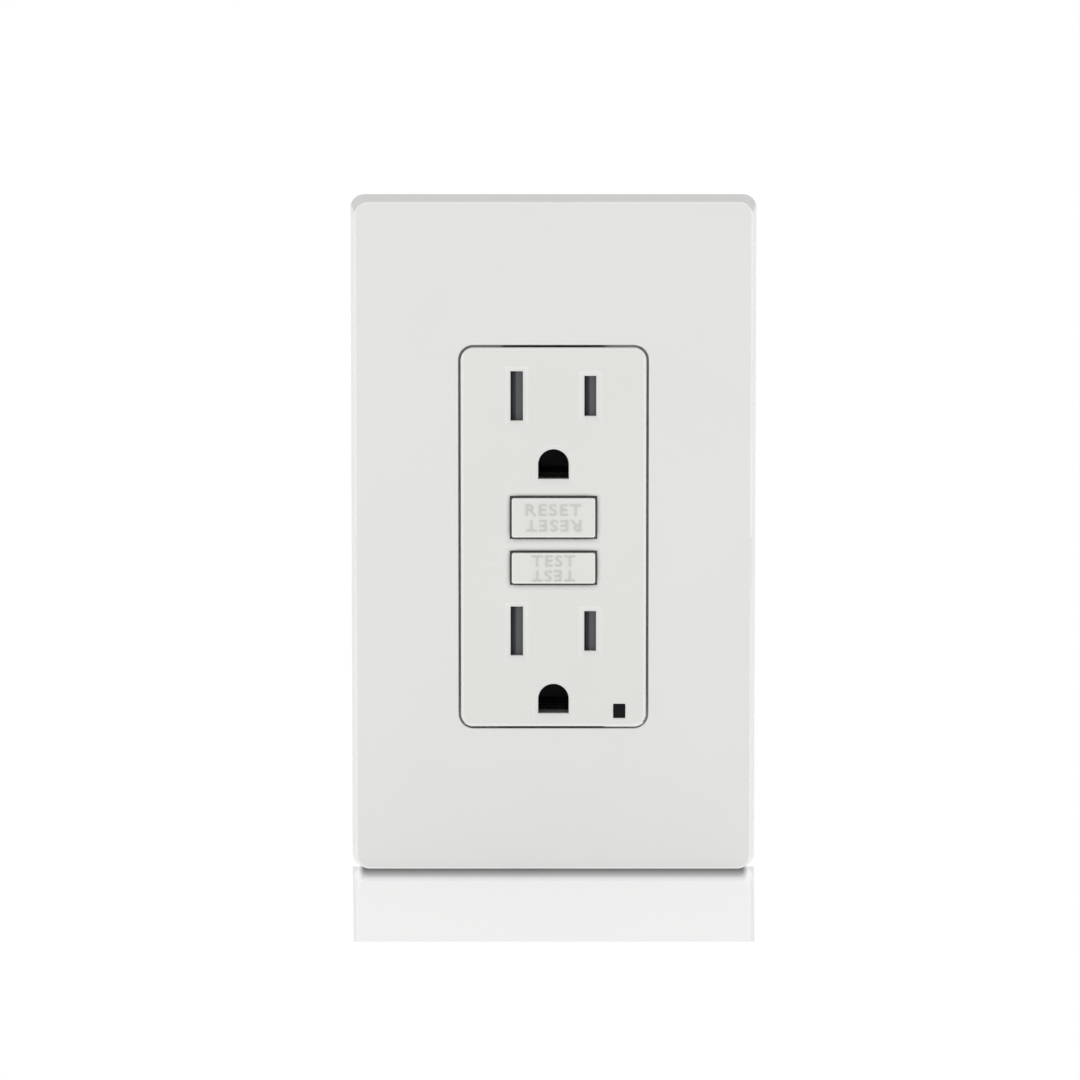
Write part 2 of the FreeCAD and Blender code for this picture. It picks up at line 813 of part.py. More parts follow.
def make_front_cover():
    """The moulded face with its slots, on a wide flange that is screwed to the rear housing."""
    body = new_body("front_cover")
    front = "-face_reach"
    inside = "-(face_reach - face_wall)"
    add(body, "XZ", front, "flange_front", centred("face_width", "face_height"))
    dress(body, "Fillet", "face_corner", along_depth(front, "flange_front"))
    dress(body, "Fillet", "face_round", on_level(front))
    add(body, "XZ", "flange_front", "parting", centred("flange_width", "flange_height"))
    dress(body, "Fillet", "face_corner", along_depth("flange_front", "parting"))
    cut(body, "XZ", inside, "parting", centred("face_width - 2 * shell_wall", "face_height - 2 * shell_wall"))
    cut(body, "XZ", "flange_front + shell_wall", "parting",
        centred("flange_width - 2 * shell_wall", "flange_height - 2 * shell_wall"))
    corners = case_corners()
    add(body, "XZ", "boss_front", "parting", *[disc(across, up, "case_boss") for across, up in corners])
    cut(body, "XZ", "pilot_front", "parting", *[disc(across, up, "case_pilot") for across, up in corners])
    ledges = [
        rectangle("-strap_neck - 0.3", "strap_neck + 0.3", "31", "flange_height / 2 + 1"),
        rectangle("-strap_neck - 0.3", "strap_neck + 0.3", "-flange_height / 2 - 1", "-31"),
    ]
    cut(body, "XZ", "bridge_front - weld", "parting", *ledges)
    cut(body, "XZ", front, inside, *slot_shapes())
    for blades in OUTLETS.values():
        dress(body, "Chamfer", "slot_bevel", on_level(front, "-9", "9", f"{blades} - 6", f"{blades} + 6"))
        dress(body, "Chamfer", "slot_bevel",
              on_level(front, "-4", "4", f"{blades} - ground_drop - 3.2", f"{blades} - ground_drop + 3.4"))
    buttons = [
        centred("2 * button_half", "2 * reset_half", "0", "reset_height"),
        centred("2 * button_half", "2 * test_half", "0", "test_height"),
    ]
    cut(body, "XZ", front, inside, *buttons)
    for height, reach in (("reset_height", 4), ("test_height", 3.4)):
        rim = on_level(front, "-8", "8", f"{height} - {reach}", f"{height} + {reach}")
        dress(body, "Chamfer", "button_bevel", rim)
    lens = centred("lens_width + lens_gap", "lens_tall + lens_gap", "lens_across", "lens_height")
    cut(body, "XZ", front, "parting", lens)
    dress(body, "Chamfer", "lens_bevel", on_level(front, "10", "13", "-32", "-28.6"))
    stops = [
        rectangle("shutter_stop_inner", "shutter_stop_outer", f"{blades} - shutter_stop_half",
                  f"{blades} + shutter_stop_half")
        for blades in OUTLETS.values()
    ]
    add(body, "XZ", f"{inside} - weld", "-shutter_back", *stops)
    return body


def cavity_outline(gap):
    """The cross-shaped inside of the rear housing: narrow beside the terminal bays, wide between them."""
    half = f"cavity_half - {gap}"
    wing = f"cavity_wing - {gap}"
    end = f"cavity_end - {gap}"
    step = f"cavity_step - {gap}"
    right = [(half, end), (half, step), (wing, step), (wing, f"-({step})"), (half, f"-({step})"),
             (half, f"-({end})")]
    left = [(f"-({across})", up) for across, up in reversed(right)]
    return polygon(right + left)


def post_places():
    """Where the rear housing's six posts bear on the circuit board."""
    return [(f"{side} * post_across", up) for side in (-1, 1) for up in ("-post_low", "0", "post_high")]


def make_rear_housing():
    """The moulded back: a cross-shaped cavity, four open terminal bays and wire holes."""
    body = new_body("rear_housing")
    add(body, "XZ", "parting", "body_back", centred("body_width", "body_height"))
    dress(body, "Fillet", "2", along_depth("parting", "body_back"))
    dress(body, "Fillet", "1", on_level("body_back"))
    cut(body, "XZ", "parting", "cavity_back", cavity_outline("0"))
    spans = (("bay_inner", "bay_outer"), ("-bay_outer", "-bay_inner"))
    bays = [rectangle("bay_front", "bay_back", low, high) for low, high in spans]
    cut(body, "YZ", "bay_floor", "body_width / 2 + 1", *bays)
    cut(body, "YZ", "-body_width / 2 - 1", "-bay_floor", *bays)
    tips = [disc("terminal_depth", f"{end} * terminal_height", "tip_radius") for end in (-1, 1)]
    tabs = [rectangle("13.9", "20.6", "-10.2", "-9"), rectangle("11.1", "14.1", "9", "10.2")]
    cut(body, "YZ", "cavity_half - weld", "bay_floor + weld", *tips, *tabs)
    cut(body, "YZ", "-bay_floor - weld", "weld - cavity_half", *tips, *tabs)
    entry = "bay_floor + terminal_sheet + wire_gap / 2"
    wires = [
        centred("2 * wire_hole", "2 * wire_hole", f"{side} * ({entry})", f"{end} * ({level})")
        for side in (-1, 1)
        for end in (-1, 1)
        for level in ("terminal_height + wire_spread", "terminal_height - wire_spread")
    ]
    cut(body, "XZ", "entry_front", "body_back", *wires)
    for side in (-1, 1):
        for end in (-1, 1):
            area = (f"{side} * 16.6 - 3", f"{side} * 16.6 + 3", f"{end} * 15 - 6", f"{end} * 15 + 6")
            dress(body, "Chamfer", "0.5", on_level("body_back", *area))
    corners = case_corners()
    cut(body, "XZ", "parting", "body_back", *[disc(across, up, "case_bore") for across, up in corners])
    recesses = [disc(across, up, "case_head_recess") for across, up in corners]
    cut(body, "XZ", "case_screw_seat", "body_back", *recesses)
    relief = disc("ground_screw_across", "ground_screw_depth", "ground_relief_radius")
    cut(body, "XY", "-body_height / 2", "-ground_relief", relief)
    posts = [disc(across, up, "post_radius") for across, up in post_places()]
    add(body, "XZ", "board_front + board_sheet", "cavity_back + weld", *posts)
    cut(body, "XZ", "body_back - panel_depth", "body_back", centred("panel_width", "panel_height"))
    return body


def make_middle_housing():
    """The insulating deck: wells round the contacts in front, cups for the plug's pins behind."""
    body = new_body("middle_housing")
    add(body, "XZ", "parting", "slab_back", cavity_outline("deck_gap"))
    wells = []
    cups = []
    pockets = []
    grounds = []
    for blades in OUTLETS.values():
        for side in (-1, 1):
            wells.append(polygon([
                (f"{side} * well_inner", f"{blades} - well_half"),
                (f"{side} * well_outer", f"{blades} - well_half"),
                (f"{side} * well_outer", f"{blades} - well_half + well_wall"),
                (f"{side} * well_floor", f"{blades} - well_half + well_wall"),
                (f"{side} * well_floor", f"{blades} + well_half - well_wall"),
                (f"{side} * well_outer", f"{blades} + well_half - well_wall"),
                (f"{side} * well_outer", f"{blades} + well_half"),
                (f"{side} * well_inner", f"{blades} + well_half"),
            ]))
            cup = ("cup_inner", "cup_outer", "cup_half")
            pocket = ("well_floor", "pocket_outer", "pocket_half")
            for shapes, (inner, outer, half) in ((cups, cup), (pockets, pocket)):
                outline = rectangle(f"{side} * {inner}", f"{side} * {outer}", f"{blades} - {half}",
                                    f"{blades} + {half}")
                shapes.append(outline)
        centre = f"{blades} - ground_drop"
        grounds.append((f"{centre} - ground_window", f"{centre} + ground_window_top"))
    add(body, "XZ", "-well_front", "parting + weld", *wells)
    add(body, "XZ", "slab_back - weld", "cup_back", *cups)
    ground_cups = [
        rectangle("-ground_cup_half", "ground_cup_half", f"{low} - ground_wall", f"{high} + ground_wall")
        for low, high in grounds
    ]
    ground_pockets = [rectangle("-ground_window", "ground_window", low, high) for low, high in grounds]
    add(body, "XZ", "slab_back - weld", "ground_cup_back", *ground_cups)
    add(body, "XZ", "slab_back - weld", "pin_cup_back", disc("0", "pin_height", "pin_cup_radius"))
    cut(body, "XZ", "parting", "pocket_back", *pockets)
    cut(body, "XZ", "parting", "ground_pocket_back", *ground_pockets)
    cut(body, "XZ", "parting", "pin_cup_back", disc("0", "pin_height", "pin_radius + pin_gap"))
    stem = centred("3.2", "2.8", "0", "test_height - stem_drop")
    legs = [centred("1", "3.8", f"{side} * leg_across", "contact_height") for side in (-1, 1)]
    lens = centred("lens_width + 2 * lens_gap", "lens_tall + 2 * lens_gap", "lens_across", "lens_height")
    cut(body, "XZ", "parting", "slab_back", stem, lens, *legs)
    return body


# ---------------------------------------------------------------------------------------------------------
# Buttons, lens and shutters
# ---------------------------------------------------------------------------------------------------------
def make_button(name, height, half):
    """A hollow rectangular push button with a flange that stops behind the face."""
    body = new_body(name)
    front = "-(face_reach + button_proud)"
    outer = ("2 * (button_half - button_gap)", f"2 * ({half} - button_gap)")
    add(body, "XZ", front, "-button_back", centred(*outer, "0", height))
    corner = along_depth(front, "-button_back")
    dress(body, "Fillet", "button_round", corner)
    dress(body, "Fillet", "button_round", on_level(front))
    flange = centred("2 * button_half + 0.9", f"2 * {half} + 0.5", "0", height)
    add(body, "XZ", "-button_flange_front", "-button_flange_back", flange)
    hollow = centred("11.6", f"2 * {half} - 2.8", "0", height)
    cut(body, "XZ", "-button_hollow", "-button_back", hollow)
    return body


def make_reset_button():
    body = make_button("reset_button", "reset_height", "reset_half")
    add(body, "XZ", "-5.8", "-button_back", disc("0", "pin_height", "2.05"))
    cut(body, "XZ", "-5.2", "-button_back", disc("0", "pin_height", "pin_radius + hair"))
    return body


def make_test_button():
    body = make_button("test_button", "test_height", "test_half")
    stem = centred("2.4", "2", "0", "test_height - stem_drop")
    add(body, "XZ", "-5.8", "9.8", stem)
    return body


def make_reset_pin():
    """The stepped steel pin that the reset button pushes through the latch."""
    body = new_body("reset_pin")
    profile = polygon([
        ("0", "0"),
        ("pin_radius", "0"),
        ("pin_radius", "pin_shoulder"),
        ("pin_neck", "pin_shoulder + 0.2"),
        ("pin_neck", "pin_shoulder + 1.6"),
        ("pin_radius", "pin_shoulder + 1.6"),
        ("pin_radius", "pin_length - 1.1"),
        ("0.5", "pin_length"),
        ("0", "pin_length"),
    ])
    spin(body, profile)
    place(body, "0", "-pin_seat", "pin_height", Vector(0, 1, 0))
    return body


def make_reset_spring():
    spring = coil("reset_spring", "1.75", "0.22", "parting + button_back - 0.1", 9)
    place(spring, "0", "-button_back + 0.05", "pin_height", Vector(0, 1, 0))
    return spring


def make_indicator_lens():
    """A clear light pipe from the face back to the lamp on the board."""
    body = new_body("indicator_lens")
    bar = centred("lens_width", "lens_tall", "lens_across", "lens_height")
    add(body, "XZ", "-face_reach + 0.15", "21.4", bar)
    dress(body, "Chamfer", "0.2", on_level("-face_reach + 0.15"))
    return body


def make_shutter(name, blades):
    """A sliding plate whose two windows miss the slots until both blades push its ramps aside."""
    body = new_body(f"{name}_shutter")
    low, high = f"{blades} - shutter_half", f"{blades} + shutter_half"
    plate = rectangle("-shutter_left", "shutter_right", low, high)
    add(body, "XZ", "-shutter_front", "-shutter_back", plate)
    dress(body, "Fillet", "0.8", along_depth("-shutter_front", "-shutter_back"))
    windows = [
        centred("2.4", "8.9", f"{side} * blade_centre - shutter_throw", blades)
        for side in (-1, 1)
    ]
    cut(body, "XZ", "-shutter_front", "-shutter_back", *windows)
    for side in (-1, 1):
        edge = f"{side} * blade_centre - shutter_throw + 1.2"
        area = (f"{edge} - 0.1", f"{edge} + 0.1", f"{blades} - 5", f"{blades} + 5")
        dress(body, "Chamfer", "1.3", on_level("-shutter_front", *area))
    return body


def make_shutter_spring(name, blades):
    spring = coil(f"{name}_shutter_spring", "0.7", "0.12", "shutter_stop_inner - shutter_right - 0.1", 10)
    depth = "-(shutter_front + shutter_back) / 2"
    place(spring, "shutter_right + 0.05", depth, blades, Vector(1, 0, 0))
    return spring


# ---------------------------------------------------------------------------------------------------------
# Current path
# ---------------------------------------------------------------------------------------------------------
def make_face_contact(name, side):
    """One strip that feeds both outlets: a folded blade clip at each, a bar and a leg down to the deck."""
    body = new_body(f"{name}_face_contact")
    inner = "blade_centre - blade_thickness / 2"
    outer = "blade_centre + blade_thickness / 2"
    add(body, "XZ", "parting - 0.8", "parting",
        rectangle(f"{side} * 9.7", f"{side} * 12.4", "lower_blades - 3", "upper_blades + 3"))
    for blades in OUTLETS.values():
        low = f"{blades} - leaf_half"
        high = f"{blades} + leaf_half"
        fold = f"{high} + leaf"
        clip = polygon([
            (f"{side} * ({inner} - leaf)", low),
            (f"{side} * ({inner})", low),
            (f"{side} * ({inner})", high),
            (f"{side} * ({outer})", high),
            (f"{side} * ({outer})", low),
            (f"{side} * ({outer} + leaf)", low),
            (f"{side} * ({outer} + leaf)", fold),
            (f"{side} * ({inner} - leaf)", fold),
        ])
        add(body, "XZ", "-0.6", "7.8", clip)
        root = f"{side} * ({outer} + leaf / 2)"
        link = rectangle(root, f"{side} * 10", f"{blades} - 2.4", f"{blades} + 2.4")
        add(body, "XZ", "parting - 0.8", "parting", link)
        throat = [
            rectangle(f"{side} * ({inner} - leaf - 1)", f"{side} * ({inner} - leaf / 2)", low, high),
            rectangle(f"{side} * ({outer} + leaf / 2)", f"{side} * ({outer} + leaf + 1)", low, high),
        ]
        cut(body, "XZ", "0.6", "1.4", *throat)
    leg = centred("0.8", "3.6", f"{side} * leg_across", "contact_height")
    add(body, "XZ", "parting - weld", "fixed_foot + 0.3", leg)
    foot = centred("2 * contact_half + 0.4", "3.6", f"{side} * contact_centre", "contact_height")
    add(body, "XZ", "fixed_foot", "fixed_foot + arm_sheet", foot)
    return body


def make_contact_point(name, side, seat, direction):
    """A domed silver contact rivet standing on a seat."""
    body = new_body(name)
    profile = polygon([
        ("0", "0"),
        ("contact_radius", "0"),
        ("contact_radius", "0.4"),
        ("contact_radius * 0.6", "0.72"),
        ("0", "0.8"),
    ])
    spin(body, profile)
    place(body, f"{side} * contact_centre", seat, "contact_height", direction)
    return body


def make_contact_arm(name, side):
    """The moving strip that carries one pole's contact, held at its lower end."""
    body = new_body(f"{name}_contact_arm")
    left = "contact_centre - contact_half"
    right = "contact_centre + contact_half"
    strip = rectangle(f"{side} * ({left})", f"{side} * ({right})", "arm_pivot", "contact_height + 1.6")
    add(body, "XZ", "arm_front", "arm_front + arm_sheet", strip)
    window = centred("0.9", "3.4", f"{side} * contact_centre", "-2.2")
    cut(body, "XZ", "arm_front", "arm_front + arm_sheet", window)
    return body


def make_line_conductors():
    """Two straps that carry the line current through the transformer rings to the moving arms."""
    conductors = []
    for name, side in SIDES.items():
        body = new_body(f"{name}_line_conductor")
        near = f"{side} * 1.2"
        far = f"{side} * (contact_centre + contact_half)"
        add(body, "XZ", "11.5", "board_front - hair", rectangle(near, f"{side} * 2.4", "-15", "-13.8"))
        add(body, "XZ", "11.5", "12.2", rectangle(near, f"{side} * 2.4", "-15", "-7.4"))
        add(body, "XZ", "11.5", "12.2", rectangle(near, far, "-8.6", "-7.4"))
        root = f"{side} * (contact_centre - contact_half)"
        add(body, "XZ", "11.5", "arm_front + arm_sheet", rectangle(root, far, "-8.2", "-7.4"))
        end = rectangle(root, far, "-7.5", "arm_pivot - weld")
        add(body, "XZ", "arm_front", "arm_front + arm_sheet", end)
        conductors.append(body)
    return group("line_conductors", conductors)


def make_line_terminal(name, side):
    """The threaded plate in a lower bay, with a tab bent in to a tail on the board."""
    body = new_body(f"line_{name}_terminal")
    face = (f"{side} * bay_floor", f"{side} * (bay_floor + terminal_sheet)")
    tab = ("-plate_inner - tab_height", "-plate_inner")
    add(body, "XZ", "12.4", "plate_back", rectangle(*face, "-plate_outer", "-plate_inner"))
    add(body, "XZ", "14", "plate_back - weld", rectangle(f"{side} * tail_across", face[1], *tab))
    tail = rectangle(f"{side} * tail_across", f"{side} * (tail_across + 1.3)", *tab)
    add(body, "XZ", "plate_back - 0.2", "board_front - hair", tail)
    bore_terminal(body, side, "-terminal_height")
    return body


def make_load_terminal(name, side):
    """The threaded plate in an upper bay, with a tab bent in to the fixed contact."""
    body = new_body(f"load_{name}_terminal")
    face = (f"{side} * bay_floor", f"{side} * (bay_floor + terminal_sheet)")
    add(body, "XZ", "fixed_foot", "plate_back", rectangle(*face, "plate_inner", "plate_outer"))
    root = f"{side} * (contact_centre + contact_half + 0.2)"
    add(body, "XZ", "fixed_foot", "14", rectangle(root, face[1], "plate_inner", "plate_inner + tab_height"))
    bore_terminal(body, side, "terminal_height")
    return body


def bore_terminal(body, side, height):
    """The tapped hole of a terminal plate."""
    start, end = sorted((f"{side} * bay_floor", f"{side} * (bay_floor + terminal_sheet)"), key=value)
    cut(body, "YZ", start, end, disc("terminal_depth", height, "terminal_screw_radius + running_gap"))


def make_clamp(name, side, height):
    """The square pressure plate between a terminal screw's head and the wires."""
    body = new_body(f"{name}_clamp")
    near = f"{side} * (bay_floor + terminal_sheet + wire_gap)"
    far = f"{side} * (bay_floor + terminal_sheet + wire_gap + clamp_sheet)"
    start, end = sorted((near, far), key=value)
    plate = centred("clamp_width", "clamp_height", "terminal_depth", height)
    add(body, "YZ", start, end, plate, disc("terminal_depth", height, "terminal_screw_radius + clamp_gap"))
    grooves = [
        centred("clamp_width + clamp_gap", "0.8", "terminal_depth", f"{height} + {step}")
        for step in (-4.6, -3.4, 3.4, 4.6)
    ]
    groove_start, groove_end = sorted((near, f"{near} + {side} * 0.4"), key=value)
    cut(body, "YZ", groove_start, groove_end, *grooves)
    return body


def make_terminal_screw(name, side, height):
    screw = make_screw(f"{name}_screw", "clamp_sheet + wire_gap + terminal_sheet + 0.6",
                       "terminal_screw_radius", "terminal_head_radius", "terminal_head")
    seat = f"{side} * (bay_floor + terminal_sheet + wire_gap + clamp_sheet)"
    place(screw, seat, "terminal_depth", height, Vector(side, 0, 0))
    return screw


def make_ground_terminal():
    """The green screw and its pressure plate on the strap's lower tab, drawn tight."""
    seat = "-(strap_end + strap_sheet)"
    clamp = new_body("ground_clamp")
    hole = disc("ground_screw_across", "ground_screw_depth", "terminal_screw_radius + 0.2")
    plate = centred("9", "9", "ground_screw_across", "ground_screw_depth")
    add(clamp, "XY", f"{seat} - 1.2", seat, plate, hole)
    screw = new_body("ground_screw")
    spin(screw, polygon([
        ("0", "-4.6"),
        ("terminal_screw_radius - 0.4", "-4.6"),
        ("terminal_screw_radius", "-4"),
        ("terminal_screw_radius", "0"),
        ("4.2", "0"),
        ("4.2", "0.6"),
        ("3.4", "0.8"),
        ("3.4", "2"),
        ("2.9", "2.4"),
        ("0", "2.4"),
    ]))
    cut(screw, "XY", "1.3", "3", centred("8", "1.1"))
    place(screw, "ground_screw_across", "ground_screw_depth", f"{seat} - 1.2", Vector(0, 0, -1))
    return [clamp, screw]


# ---------------------------------------------------------------------------------------------------------
# Trip mechanism
# ---------------------------------------------------------------------------------------------------------
def make_lifter():
    """The plastic block that the reset pin draws forward, with a wing under each contact arm."""
    body = new_body("lifter")
    add(body, "XZ", "lifter_front", "lifter_back", rectangle("-lifter_half", "lifter_half", "-3.6", "6.1"))
    wings = rectangle("-wing_half", "wing_half", "2.3", "4.3")
    add(body, "XZ", "lifter_front + 0.45", "lifter_front + 2", wings)
    wing_start = "contact_centre - contact_half"
    for start, end in ((wing_start, "wing_half"), ("-wing_half", f"-({wing_start})")):
        add(body, "YZ", start, end, disc("lifter_front + 0.45", "pin_height", "0.8"))
    cut(body, "XZ", "18.3", "19.1", rectangle("-2.8", "2.8", "-3", "7.4"))
    cut(body, "XZ", "17.7", "19.7", rectangle("-1.1", "1.1", "-3", "-0.6"))
    cut(body, "XZ", "lifter_front", "lifter_back", disc("0", "pin_height", "pin_radius + 0.2"))
    return body


def make_latch_plate():
    """The steel slide in the lifter that hooks under the reset pin's shoulder."""
    body = new_body("latch_plate")
    slide = rectangle("-latch_half", "latch_half", "-0.6", "latch_top")
    add(body, "XZ", "latch_front", "latch_front + latch_sheet", slide)
    lip = rectangle("-latch_half", "latch_half", "latch_top - latch_sheet", "latch_top")
    add(body, "XZ", "15.2", "latch_front + latch_sheet", lip)
    cut(body, "XZ", "latch_front", "latch_front + latch_sheet", rectangle("-1.4", "1.4", "1.9", "6"))
    return body


def make_latch_spring():
    spring = coil("latch_spring", "0.7", "0.1", "2.3", 5)
    place(spring, "0", "18.7", "-2.95", Vector(0, 0, 1))
    return spring


def make_test_spring():
    """The bent leaf that the test button's stem presses, and that pushes the button back."""
    body = new_body("test_spring")
    low = "test_height - 1.6"
    high = "test_height + 0.4"
    add(body, "XZ", "10", "10.4", rectangle("-9.5", "2", low, high))
    add(body, "XZ", "slab_back + hair", "10.4", rectangle("-9.5", "-9", low, high))
    add(body, "XZ", "slab_back + hair", "slab_back + 0.42", rectangle("-11.5", "-9", low, high))
    return body


def make_solenoid_bobbin():
    """The coil former, with a square flange at each end."""
    body = new_body("solenoid_bobbin")
    bore = disc("0", "solenoid_depth", "bobbin_bore")
    low = "solenoid_low + solenoid_sheet"
    high = "solenoid_high - solenoid_sheet"
    add(body, "XY", low, high, disc("0", "solenoid_depth", "bobbin_tube"), bore)
    flange = centred("8.8", "8.6", "0", "solenoid_depth")
    add(body, "XY", low, f"{low} + bobbin_flange", flange, bore)
    add(body, "XY", f"{high} - bobbin_flange", high, flange, bore)
    return body


def make_solenoid_coil():
    body = new_body("solenoid_coil")
    outer = disc("0", "solenoid_depth", "coil_radius")
    inner = disc("0", "solenoid_depth", "bobbin_tube")
    low = "solenoid_low + solenoid_sheet + bobbin_flange"
    high = "solenoid_high - solenoid_sheet - bobbin_flange"
    add(body, "XY", low, high, outer, inner)
    return body


def make_solenoid_frame():
    """The C-shaped steel yoke round the coil."""
    body = new_body("solenoid_frame")
    front = "solenoid_depth - 4.4"
    back = "board_front - hair"
    yoke = rectangle("-yoke_half", "yoke_half", "solenoid_low", "solenoid_high")
    add(body, "XZ", f"{back} - 0.9", back, yoke)
    ends = [
        rectangle("-yoke_half", "yoke_half", "solenoid_low", "solenoid_low + solenoid_sheet"),
        rectangle("-yoke_half", "yoke_half", "solenoid_high - solenoid_sheet", "solenoid_high"),
    ]
    add(body, "XZ", front, back, *ends)
    rod = disc("0", "solenoid_depth", "1.25")
    slug = disc("0", "solenoid_depth", "bobbin_bore")
    cut(body, "XY", "solenoid_low", "solenoid_low + solenoid_sheet", rod)
    cut(body, "XY", "solenoid_high - solenoid_sheet", "solenoid_high", slug)
    return body


def make_plunger():
    """The iron slug and the thin rod that strikes the latch."""
    body = new_body("solenoid_plunger")
    spin(body, polygon([
        ("0", "8.05"),
        ("0.7", "8.05"),
        ("1", "8.4"),
        ("1", "21"),
        ("2.2", "21"),
        ("2.2", "31.4"),
        ("1.9", "31.8"),
        ("0", "31.8"),
    ]))
    place(body, "0", "solenoid_depth", "0", Vector(0, 0, 1))
    return body


def make_plunger_spring():
    spring = coil("plunger_spring", "1.6", "0.15", "21 - solenoid_low - solenoid_sheet - 0.1", 5)
    place(spring, "0", "solenoid_depth", "solenoid_low + solenoid_sheet + 0.05", Vector(0, 0, 1))
    return spring


# ---------------------------------------------------------------------------------------------------------
# Board and sensing
# ---------------------------------------------------------------------------------------------------------
def make_circuit_board():
    body = new_body("circuit_board")
    add(body, "XZ", "board_front", "board_front + board_sheet", cavity_outline("0.3"))
    holes = [disc(across, up, "post_hole") for across, up in post_places()]
    cut(body, "XZ", "board_front", "board_front + board_sheet", *holes)
    return body


def make_transformer_housing():
    """The plastic cup that holds both sensing rings round the line conductors."""
    body = new_body("transformer_housing")
    ring = disc("0", "ring_height", "ring_radius")
    tube = disc("0", "ring_height", "3.7")
    bore = disc("0", "ring_height", "3")
    add(body, "XZ", "ring_front", "ring_back", ring, disc("0", "ring_height", "ring_radius - 0.9"))
    add(body, "XZ", "ring_front", "ring_front + 0.8", ring, bore)
    add(body, "XZ", "ring_front", "ring_back", tube, bore)
    feet = [centred("2.6", "2", f"{side} * 7.6", "ring_height - 7.4") for side in (-1, 1)]
    add(body, "XZ", "ring_back - 3", "board_front - hair", *feet)
    return body


def make_ring(name, depth, inner, outer, half):
    """A flat ring about the transformers' axis."""
    body = new_body(name)
    shapes = (disc("0", "ring_height", outer), disc("0", "ring_height", inner))
    add(body, "XZ", f"{depth} - {half}", f"{depth} + {half}", *shapes)
    return body


def make_transformers():
    """Two sensing rings, each with a winding round most of it."""
    cores = []
    windings = []
    for name, depth in (("front", 15.4), ("rear", 19.8)):
        cores.append(make_ring(f"{name}_core", depth, "4.8", "7.4", 1.3))
        winding = make_ring(f"{name}_winding", depth, "4", "8.3", 1.9)
        ring = [disc("0", "ring_height", "7.45"), disc("0", "ring_height", "4.75")]
        cut(winding, "XZ", f"{depth} - 1.35", f"{depth} + 1.35", *ring)
        gap = rectangle("-3.2", "3.2", "ring_height + 2", "ring_height + 10")
        cut(winding, "XZ", f"{depth} - 2", f"{depth} + 2", gap)
        windings.append(winding)
    return [group("transformer_cores", cores), group("transformer_windings", windings)]


def make_can(name, across, up, radius, front):
    """A round part standing on the board, facing forward."""
    body = new_body(name)
    add(body, "XZ", front, "board_front - hair", disc(across, up, radius))
    dress(body, "Fillet", "0.4", on_level(front))
    return body


def make_capacitors():
    cans = [
        make_can("storage_capacitor", "9.7", "28", "2.5", "14.2"),
        make_can("filter_capacitor", "-9.7", "28", "2.2", "15.6"),
        make_can("timing_capacitor", "-16.4", "3.6", "1.9", "17.4"),
    ]
    return group("capacitors", cans)


def make_varistor():
    """The surge disc, lying flat near the line terminals."""
    body = new_body("varistor")
    add(body, "XZ", "19.2", "board_front - hair", disc("-8", "-27.6", "3.7"))
    dress(body, "Fillet", "1", on_level("19.2"))
    return body


def make_resistors():
    """Three axial resistors lying across the right wing of the board."""
    resistors = []
    for number, up in enumerate(("-4.6", "-1", "2.6"), start=1):
        body = new_body(f"resistor_{number}")
        spin(body, polygon([
            ("0", "-3.2"),
            ("0.3", "-3.2"),
            ("0.3", "-2.5"),
            ("1.1", "-2.3"),
            ("1.1", "-1.7"),
            ("0.95", "-1.4"),
            ("0.95", "1.4"),
            ("1.1", "1.7"),
            ("1.1", "2.3"),
            ("0.3", "2.5"),
            ("0.3", "3.2"),
            ("0", "3.2"),
        ]))
        place(body, "16.2", "board_front - 1.15", up, Vector(1, 0, 0))
        resistors.append(body)
    return group("resistors", resistors)


def make_semiconductors():
    """The detector chip, the switching thyristor and the lamp behind the light pipe."""
    chip = new_body("detector_chip")
    add(chip, "XZ", "board_front - 1.7", "board_front - hair", centred("4", "5", "-16.4", "-3"))
    dress(chip, "Chamfer", "0.4", on_level("board_front - 1.7"))
    thyristor = new_body("thyristor")
    add(thyristor, "XZ", "board_front - 4.6", "board_front - hair", disc("8.2", "-27.4", "2.2"))
    cut(thyristor, "XZ", "board_front - 4.6", "board_front - hair", rectangle("5", "12", "-26.4", "-24"))
    lamp = new_body("indicator_lamp")
    add(lamp, "XZ", "board_front - 1.2", "board_front - hair",
        centred("1.6", "2.2", "lens_across - 0.3", "lens_height + 0.2"))
    return group("semiconductors", [chip, thyristor, lamp])


def make_assembly_screws():
    """Four long screws through the rear housing into the front cover's bosses."""
    screws = []
    for side in (-1, 1):
        for end in (-1, 1):
            name = f"assembly_screw_{'right' if side > 0 else 'left'}_{'top' if end > 0 else 'bottom'}"
            screw = make_screw(name, "case_screw_seat - 2", "1.3", "2.5", "1.7")
            across = f"{side} * case_screw_across"
            place(screw, across, "case_screw_seat", f"{end} * case_screw_height", Vector(0, 1, 0))
            screws.append(screw)
    return group("assembly_screws", screws)


# ---------------------------------------------------------------------------------------------------------
# The whole outlet
# ---------------------------------------------------------------------------------------------------------
def make_poles():
    """Both poles of the current path, with their terminals."""
    pieces = []
    for name, side in SIDES.items():
        pieces.append(make_face_contact(name, side))
        pieces.append(make_contact_arm(name, side))
        pieces.append(make_contact_point(f"{name}_moving_point", side, "arm_front", Vector(0, -1, 0)))
        pieces.append(make_line_terminal(name, side))
        pieces.append(make_load_terminal(name, side))
        for end, height in (("line", "-terminal_height"), ("load", "terminal_height")):
            pieces.append(make_clamp(f"{end}_{name}", side, height))
            pieces.append(make_terminal_screw(f"{end}_{name}", side, height))
    fixed = [
        make_contact_point(f"{name}_fixed_point", side, "fixed_foot + arm_sheet", Vector(0, 1, 0))
        for name, side in SIDES.items()
    ]
    pieces.append(group("fixed_contact_points", fixed))
    return pieces


